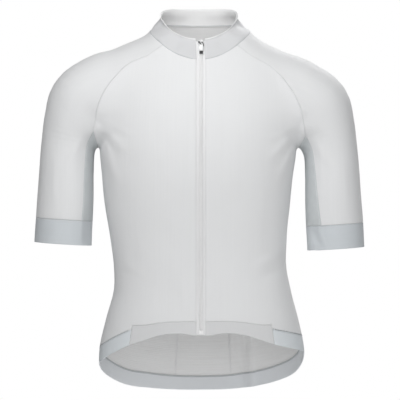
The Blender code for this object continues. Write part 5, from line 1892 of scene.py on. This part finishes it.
    def tooth(self, side: Side) -> Shape:
        """One tooth on a straight tape: it grips the tape and its head crosses the middle.

        Args:
            side: The tape's side.

        Returns:
            The tooth.
        """
        reach, cross, half = self.tooth_reach, self.tooth_cross, self.tooth_pitch * 0.25
        outline = [
            (half * 0.95, reach), (half * 0.95, 0.0011), (half * 0.55, 0.0003), (half * 0.62, -cross * 0.3),
            (half * 1.15, -cross * 0.75), (half * 0.8, -cross * 1.15),
        ]
        outline += [(-x, y) for x, y in reversed(outline)]
        low = -self.tooth_depth - self.tooth_thick
        return prism([(x, side.value * y) for x, y in outline], low, -self.tooth_depth)

    def chain(self) -> tuple[Points, Points]:
        """Path of the zip above its box, and the directions out."""
        chosen = self.path[:, 2] > self.path[0, 2] + self.box_lift
        return self.path[chosen], self.out[chosen]

    def build_teeth(self) -> None:
        """Makes the two rows of teeth, which part above the slider."""
        path, out = self.chain()
        long = length_of(path)
        for side in Side:
            shape = self.tooth(side)
            count = int((long - self.teeth_short) / self.tooth_pitch)
            ROOM.row(shape, count, self.tooth_pitch)
            shift = 0.001 + (self.tooth_pitch / 2 if side is Side.RIGHT else 0.0)
            bmesh.ops.translate(shape, vec=(shift, 0, 0), verts=shape.verts)
            points = np.array([v.co for v in shape.verts])
            centre = np.round((points[:, 0] - shift) / self.tooth_pitch) * self.tooth_pitch + shift
            points[:, 1] = -points[:, 1] - side.value * self.parting(long - centre)
            ROOM.bend(shape, points, path, out)
            bmesh.ops.recalc_face_normals(shape, faces=shape.faces)
            ROOM.piece(f"zip_teeth_{side.word}", shape, [TEETH], "zip_tape")

    def build_beads(self) -> None:
        """Makes the beads of the tapes that the teeth grip."""
        path, out = self.chain()
        from_top = length_of(path) * (1 - shares_of(path))
        keep = from_top > self.teeth_short
        path, out, from_top = path[keep], out[keep], from_top[keep]
        for side in Side:
            aside = side.value * (np.array(self.bead_reach)[None] + self.parting(from_top)[:, None])
            grid = (path - self.bead_depth * out)[:, None] + aside[:, :, None] * np.array([1.0, 0.0, 0.0])
            ROOM.sheet(f"zip_bead_{side.word}", facing_out(grid, side), self.bead_wall, [TAPE, TAPE],
                       "zip_tape", edge=0.0002)

    def place(self, name: str, shape: Shape, place: Matrix, finish: Finish, slot: str,
              body: str = "garment", replaces: Sequence[str] = ()) -> None:
        """Makes a piece from a shape in the slider's own axes.

        Args:
            name: The piece's name.
            shape: Its shape.
            place: The place of the axes.
            finish: The piece's finish.
            slot: The record's material slot.
            body: The body that it rides on.
            replaces: The CAD nodes that it stands for.
        """
        bmesh.ops.transform(shape, matrix=place, verts=shape.verts)
        ROOM.piece(name, shape, [finish], slot, body, replaces)

    def build_box(self) -> None:
        """Makes the box at the zip's lower end, with its pin."""
        place = self.standing(float(self.path[0, 2]) + self.box_lift - self.box_drop)
        shape = bmesh.new()
        add_blocks(shape, self.box)
        self.place("zip_box_moulded", shape, place, TEETH, "zip_plastic", replaces=["zip_box"])

    def slider_place(self) -> Matrix:
        """Place of the slider, whose crown stands round the pull's hinge."""
        return self.standing(self.slider_height) @ Matrix.Translation((0, 0, self.slider_out))

    def build_slider(self) -> None:
        """Makes the slider: shield-shaped plate, flanges and a hollow crown."""
        half, low, high = self.shield
        outline = [(-0.0026, low), (0.0026, low), (half, low + 0.0022), (half, high - 0.003),
                   (0.0022, high), (0.0, high - 0.0007), (-0.0022, high), (-half, high - 0.003),
                   (-half, low + 0.0022)]
        shape = plate(outline, *self.shield_levels)
        narrow, short = self.rear_share
        join(shape, plate([(x * narrow, y * short) for x, y in outline], *self.rear_levels))
        add_blocks(shape, self.slider_blocks)
        join(shape, arch(*self.crown))
        self.place("zip_slider_body", shape, self.slider_place(), SLIDER_METAL, "zip_metal",
                   replaces=["zip_slider"])

    def build_pull(self) -> None:
        """Makes the pull: a dark wire bail through the crown, a white tab and a dark tip."""
        place = self.slider_place() @ Matrix.Translation((self.pull_aside, 0, self.pivot_out))
        bail = ring_of_wire(self.bail_route, self.bail_radius)
        self.place("zip_pull_bail", bail, place, BAIL_METAL, "zip_metal", "pull")
        tab = plate(oval(*self.tab_oval), *self.tab_levels)
        join(tab, plate(oval(*self.inlay_oval), *self.inlay_levels))
        self.place("zip_pull_tab", tab, place, TAB_WHITE, "pull_white", "pull", ["zip_pull"])
        tip = plate(oval(*self.tip_oval), *self.tip_levels)
        add_blocks(tip, self.tip_ribs)
        self.place("zip_pull_grip", tip, place, TIP_BLACK, "pull_black", "pull", ["zip_pull_tip"])

    def build(self) -> None:
        """Makes the whole zip."""
        self.build_tapes()
        self.build_teeth()
        self.build_beads()
        self.build_box()
        self.build_slider()
        self.build_pull()


def block(low: Sequence[float], high: Sequence[float], edge: float) -> Shape:
    """Block between two corners with rounded edges.

    Args:
        low: Its lower corner.
        high: Its upper corner.
        edge: How far its edges are rounded.

    Returns:
        The block.
    """
    shape = bmesh.new()
    low_corner, high_corner = Vector(low), Vector(high)
    bmesh.ops.create_cube(shape, size=1.0)
    bmesh.ops.scale(shape, vec=high_corner - low_corner, verts=shape.verts)
    bmesh.ops.translate(shape, vec=(low_corner + high_corner) / 2, verts=shape.verts)
    bmesh.ops.bevel(shape, geom=list(shape.edges), offset=edge, segments=2, profile=0.5, affect="EDGES",
                    material=-1)
    return shape


def prism(outline: Sequence[Pair], low: float, high: float) -> Shape:
    """Straight-sided solid between two levels.

    Args:
        outline: Its outline.
        low: Its lower level.
        high: Its upper level.

    Returns:
        The solid.
    """
    shape = bmesh.new()
    face = shape.faces.new([shape.verts.new((x, y, low)) for x, y in outline])
    raised = bmesh.ops.extrude_face_region(shape, geom=[face])
    top = [item for item in raised["geom"] if isinstance(item, bmesh.types.BMVert)]
    bmesh.ops.translate(shape, vec=(0, 0, high - low), verts=top)
    bmesh.ops.recalc_face_normals(shape, faces=shape.faces)
    return shape


def plate(outline: Sequence[Pair], low: float, high: float, edge: float) -> Shape:
    """Plate with rounded edges.

    Args:
        outline: Its outline.
        low: Its lower level.
        high: Its upper level.
        edge: How far its edges are rounded.

    Returns:
        The plate.
    """
    shape = prism(outline, low, high)
    rims = [e for e in shape.edges if abs(e.verts[0].co.z - e.verts[1].co.z) < 1e-9]
    bmesh.ops.bevel(shape, geom=rims, offset=edge, segments=2, profile=0.5, affect="EDGES", material=-1)
    return shape


def oval(half: float, low: float, high: float, corner: float) -> list[Pair]:
    """Outline with round corners, from low to high.

    Args:
        half: Half its width.
        low: Its lower end.
        high: Its upper end.
        corner: The radius of its corners.

    Returns:
        The outline.
    """
    points = []
    for centre_x, centre_y, start in (
        (half - corner, high - corner, 0), (corner - half, high - corner, 90),
        (corner - half, low + corner, 180), (half - corner, low + corner, 270),
    ):
        for turn in range(0, 91, 15):
            angle = math.radians(start + turn)
            points.append((centre_x + corner * math.cos(angle), centre_y + corner * math.sin(angle)))
    return points


def arch(half: float, low: float, high: float, foot: float, top: float, wall: float) -> Shape:
    """Arch over the slider that the pull hangs from, as a bent strip.

    Args:
        half: Half its width across.
        low: Its lower end, up the zip.
        high: Its upper end.
        foot: The level of its feet.
        top: The level of its top.
        wall: Its thickness.

    Returns:
        The arch.
    """
    shape = bmesh.new()
    steps, power = 14, 0.55
    bmesh.ops.create_grid(shape, x_segments=1, y_segments=steps, size=0.5)
    middle, reach = (low + high) / 2, (high - low) / 2
    for vertex in shape.verts:
        turn = (vertex.co.y + 0.5) * math.pi
        y = middle - reach * math.copysign(abs(math.cos(turn)) ** power, math.cos(turn))
        z = foot + (top - foot) * math.sin(turn) ** power
        vertex.co = (2 * half * vertex.co.x, y, z)
    bmesh.ops.recalc_face_normals(shape, faces=shape.faces)
    bmesh.ops.solidify(shape, geom=list(shape.faces), thickness=wall)
    bmesh.ops.recalc_face_normals(shape, faces=shape.faces)
    return shape


def ring_of_wire(route: Sequence[Pair], radius: float) -> Shape:
    """Closed loop of round wire in the plane of across and up.

    Args:
        route: A few points of the loop.
        radius: The wire's radius.

    Returns:
        The loop.
    """
    anchors = np.array(list(route) + [route[0]])
    line = eased(anchors, 40)[:-1]
    count, sides = len(line), 10
    along = unit(np.roll(line, -1, axis=0) - np.roll(line, 1, axis=0))
    shape = bmesh.new()
    bmesh.ops.create_grid(shape, x_segments=sides, y_segments=count, size=0.5)
    for vertex in shape.verts:
        at = round((vertex.co.y + 0.5) * count) % count
        turn = (vertex.co.x + 0.5) * 2 * math.pi
        side_way = radius * math.cos(turn)
        vertex.co = (line[at, 0] + along[at, 1] * side_way, line[at, 1] - along[at, 0] * side_way,
                     radius * math.sin(turn))
    bmesh.ops.remove_doubles(shape, verts=shape.verts, dist=1e-6)
    bmesh.ops.recalc_face_normals(shape, faces=shape.faces)
    return shape


def join(shape: Shape, other: Shape) -> None:
    """Adds another shape to a shape, and frees it.

    Args:
        shape: The shape that grows.
        other: The other one.
    """
    part = bpy.data.meshes.new("part")
    other.to_mesh(part)
    other.free()
    shape.from_mesh(part)
    bpy.data.meshes.remove(part)


def add_blocks(shape: Shape, blocks: Blocks) -> None:
    """Adds rounded blocks to a shape, each from its two corners and its edge."""
    for corners in blocks:
        join(shape, block(*corners))


@dataclass
class Jersey:
    """The whole jersey."""

    beside: float = 0.0019
    cuff_beside: float = 0.0012
    fold_stitch: float = 0.0019
    neck_tape_up: float = 0.0005
    seam_aside: float = 0.0004
    neck_strip: float = 0.0012
    grip_strip: float = 0.0015
    pocket_strip: float = 0.0013
    pocket_rows_apart: float = 0.0022
    fronts: dict[Side, FrontHalf] = field(default_factory=lambda: {side: FrontHalf(side) for side in Side})
    sleeves: dict[Side, Sleeve] = field(default_factory=lambda: {side: Sleeve(side) for side in Side})
    back: Back = field(default_factory=Back)
    gripper: Gripper = field(default_factory=Gripper)
    collar: Collar = field(default_factory=Collar)
    zip: Zip = field(default_factory=Zip)

    def lay_out(self) -> None:
        """Works out every line and grid."""
        self.seams = {(side, face): LINES.raglan(side, face) for side in Side for face in Face}
        self.flanks = {side: LINES.flank(side) for side in Side}
        for side in Side:
            self.fronts[side].lay_out(self.seams[side, Face.FRONT], self.flanks[side])
            self.sleeves[side].lay_out(self.seams[side, Face.FRONT], self.seams[side, Face.BACK])
        self.back.lay_out(self.flanks, {side: self.seams[side, Face.BACK] for side in Side})
        self.collar.lay_out(self.collar.angles(self.fronts, self.sleeves, self.back))

    def build(self) -> None:
        """Makes every piece of cloth, the zip and the sewing."""
        self.lay_out()
        for side in Side:
            self.fronts[side].build()
            self.sleeves[side].build()
        self.back.build()
        self.gripper.build(self.fronts, self.back)
        self.collar.build()
        self.zip.lay_out(self.fronts, self.collar)
        self.zip.build()
        self.sew()

    def sew(self) -> None:
        """Makes the overlocked edges inside and the stitches outside."""
        strips = SeamBack()
        for side in Side:
            word = side.word
            front, sleeve = self.fronts[side], self.sleeves[side]
            stitches = Sewing(f"stitches_{word}", SEWING, "knit")
            grey = Sewing(f"cuff_stitches_{word}", GREY_SEWING, "cuff_elastic")
            seams = {f"raglan_edge_{face.name.lower()}": self.seams[side, face] for face in Face}
            seams["side_edge"] = self.flanks[side]
            seams |= {"under_edge_front": sleeve.under_front, "under_edge_back": sleeve.under_back}
            for name, line in seams.items():
                out = FORM.outward(line)
                stitches.sew_both(line, out, self.beside)
                strips.lay(f"{name}_{word}", line, out, CLOTH, OVERLOCK, "knit")
            ring, ring_out = sleeve.ring, FORM.outward(sleeve.ring)
            grey.sew(ring, ring_out, -self.cuff_beside)
            stitches.sew(ring, ring_out, self.cuff_beside)
            strips.lay(f"cuff_edge_{word}", ring, ring_out, CUFF_WALL, GREY_OVERLOCK_AND_SHADOW, "cuff_elastic")
            hem = front.hem_top
            hem_out = FORM.outward(hem)
            stitches.sew(hem, hem_out, self.beside)
            strips.lay(f"hem_edge_{word}", hem, hem_out, BAND_WALL, OVERLOCK, "knit")
            share = self.fold_stitch / (LINES.front_fold - LINES.zip_gap)
            fold = front.edge + (front.fold - front.edge) * share
            stitches.sew(FORM.project(fold, 3), FORM.outward(fold))
            stitches.finish_off()
            grey.finish_off()
        self.sew_collar(strips)
        self.sew_back(strips)

    def sew_collar(self, strips: SeamBack) -> None:
        """Sews the collar on and down its front edges.

        Args:
            strips: Makes the strips behind seams.
        """
        stitches = Sewing("collar_stitches", SEWING, "collar_knit")
        line, out = self.collar.grid[0], self.collar.out[0]
        body = unit(FORM.outward(line))
        stitches.sew(line, body, -self.beside)
        seam = Sewing("collar_seam", GREY_SEWING, "knit", length=0.0036, width=0.0008)
        seam.sew(line, body, -self.seam_aside)
        seam.finish_off()
        up = unit(self.collar.grid[3] - line)
        # The neck tape takes the darker, painted-shade collar knit, so it also shows as a faint shade line
        # inside the neck.
        strips.lay("neck_edge", line + self.neck_tape_up * up, out, COLLAR_WALL, COLLAR_FACE_SHADED, "collar_knit",
                   self.neck_strip)
        for column in (1, -2):
            edge = self.collar.grid[1:-6, column]
            stitches.lay(edge, self.collar.out[1:-6, column])
        stitches.finish_off()

    def sew_back(self, strips: SeamBack) -> None:
        """Sews the gripper on, and the pockets down their sides, dividers and binding.

        Args:
            strips: Makes the strips behind seams.
        """
        grey = Sewing("gripper_stitches", GREY_SEWING, "grip_elastic")
        top = self.gripper.band[-1]
        out = FORM.outward(top)
        grey.sew_both(top, out, self.beside)
        # Painted shadow: near-black stitches along the gripper's top seam stand in for the seam's shadow line.
        seam = Sewing("gripper_seam_painted_shadow", PAINTED_SEAM_SHADOW, "grip_elastic", length=0.0036, width=0.0007)
        seam.sew(top, out, self.seam_aside)
        seam.finish_off()
        # Painted shadow: the overlocked edge inside the gripper seam is a dark grey strip that stands in for
        # the shadow line under the band's edge.
        strips.lay("gripper_edge", top, out, BAND_WALL, GREY_OVERLOCK_AND_SHADOW, "grip_elastic", self.grip_strip)
        grey.finish_off()
        stitches = Sewing("pocket_stitches", SEWING, "knit")
        pockets, pocket_out = self.back.pockets, self.back.pocket_out
        across = pockets[:, :, 0]
        for target in self.back.pocket_dividers:
            column = int(np.argmin(np.abs(across.mean(axis=0) - target)))
            for beside in (0.0, self.pocket_rows_apart):
                line = pockets[1:, column] + np.array([beside, 0.0, 0.0])
                stitches.lay(line, pocket_out[1:, column])
            name = "pocket_edge_right" if target < 0 else "pocket_edge_left"
            strips.lay(name, pockets[1:, column], pocket_out[1:, column], 2 * CLOTH + SEAM_GAP, OVERLOCK,
                       "knit", self.pocket_strip)
        for column in (1, -2):
            stitches.lay(pockets[1:, column], pocket_out[1:, column])
        binding_out = grid_normals(self.back.binding)
        for row in (1, -2):
            stitches.lay(self.back.binding[row], binding_out[row])
        stitches.finish_off()


@dataclass(frozen=True)
class Lamp:
    """One soft studio lamp that faces the jersey."""

    name: str
    spot: Triple
    size: Pair
    power: float
    aim: Triple = (0.0, 0.0, -0.2835)


@dataclass
class Studio:
    """Floor, lights, backdrop light and camera."""

    target: Triple = (0.0, 0.0, -0.2835)
    camera_away: float = 3.4
    view_width: float = 0.7
    sensor: float = 36.0
    floor_height: float = -1.45
    floor_size: float = 6.0
    ambient: float = 0.16
    floor_glow: float = 0.13
    lamps: tuple[Lamp, ...] = (
        Lamp("key", (-0.2, -0.95, 0.95), (0.9, 0.6), 11.6),
        Lamp("front_high", (0.0, -3.4, 0.7), (2.0, 1.6), 23.9),
        Lamp("front_low", (0.0, -3.6, -0.45), (2.0, 1.6), 11.2),
        Lamp("fill_right", (2.4, -1.2, 0.1), (1.2, 2.0), 5.1),
        Lamp("rear", (1.1, 2.5, 1.5), (1.2, 1.0), 52.0),
        Lamp("neck_fill", (0.0, -0.02, -0.15), (0.1, 0.1), 0.042, (0.0, 0.08, -0.02)),
    )

    def build_floor(self) -> None:
        """Makes the pale floor."""
        shape = bmesh.new()
        bmesh.ops.create_circle(shape, cap_ends=True, segments=96, radius=self.floor_size)
        bmesh.ops.translate(shape, vec=(0, 0, self.floor_height), verts=shape.verts)
        mesh = bpy.data.meshes.new("studio_floor")
        shape.to_mesh(mesh)
        shape.free()
        paint = Moulded("studio_floor_paint", (0.92, 0.92, 0.92), 0.8, specular=0.1, variation=0.01, grain=40.0)
        lit = ROOM.material(paint)
        shader = next(node for node in lit.node_tree.nodes if node.type == "BSDF_PRINCIPLED")
        shader.inputs["Emission Color"].default_value = (1.0, 1.0, 1.0, 1.0)
        shader.inputs["Emission Strength"].default_value = self.floor_glow
        mesh.materials.append(lit)
        floor = bpy.data.objects.new("studio_floor", mesh)
        bpy.context.scene.collection.objects.link(floor)

    def build_lamps(self) -> None:
        """Hangs the lamps."""
        for lamp in self.lamps:
            light = bpy.data.lights.new(lamp.name, "AREA")
            light.shape = "RECTANGLE"
            light.size, light.size_y = lamp.size
            light.energy = lamp.power
            item = bpy.data.objects.new(lamp.name, light)
            item.location = lamp.spot
            item.rotation_euler = (Vector(lamp.aim) - Vector(lamp.spot)).to_track_quat("-Z", "Y").to_euler()
            item.visible_camera = False
            bpy.context.scene.collection.objects.link(item)

    def build_world(self) -> None:
        """Lights the room softly from all round, and shows plain white behind."""
        world = bpy.data.worlds.new("studio")
        bpy.context.scene.world = world
        world.use_nodes = True
        tree = world.node_tree
        tree.nodes.clear()
        output = tree.nodes.new("ShaderNodeOutputWorld")
        blend = tree.nodes.new("ShaderNodeMixShader")
        ray = tree.nodes.new("ShaderNodeLightPath")
        soft, white = tree.nodes.new("ShaderNodeBackground"), tree.nodes.new("ShaderNodeBackground")
        soft.inputs["Color"].default_value = (0.97, 0.985, 1.0, 1.0)
        soft.inputs["Strength"].default_value = self.ambient
        white.inputs["Color"].default_value = (1.0, 1.0, 1.0, 1.0)
        tree.links.new(ray.outputs["Is Camera Ray"], blend.inputs[0])
        tree.links.new(soft.outputs[0], blend.inputs[1])
        tree.links.new(white.outputs[0], blend.inputs[2])
        tree.links.new(blend.outputs[0], output.inputs["Surface"])

    def build_camera(self) -> None:
        """Sets the camera level with the jersey's middle."""
        data = bpy.data.cameras.new("camera")
        data.sensor_width = self.sensor
        data.lens = self.sensor * self.camera_away / self.view_width
        camera = bpy.data.objects.new("camera", data)
        camera.location = (self.target[0], self.target[1] - self.camera_away, self.target[2])
        camera.rotation_euler = (math.pi / 2, 0.0, 0.0)
        bpy.context.scene.collection.objects.link(camera)
        bpy.context.scene.camera = camera

    def build(self) -> None:
        """Makes the studio."""
        self.build_floor()
        self.build_lamps()
        self.build_world()
        self.build_camera()
        view = bpy.context.scene.view_settings
        view.view_transform = "Standard"
        view.look = "None"


def main() -> None:
    """Builds the studio and the jersey."""
    logging.basicConfig(level=logging.INFO, format="%(name)s: %(message)s")
    Studio().build()
    Jersey().build()


if __name__ == "__main__":
    main()
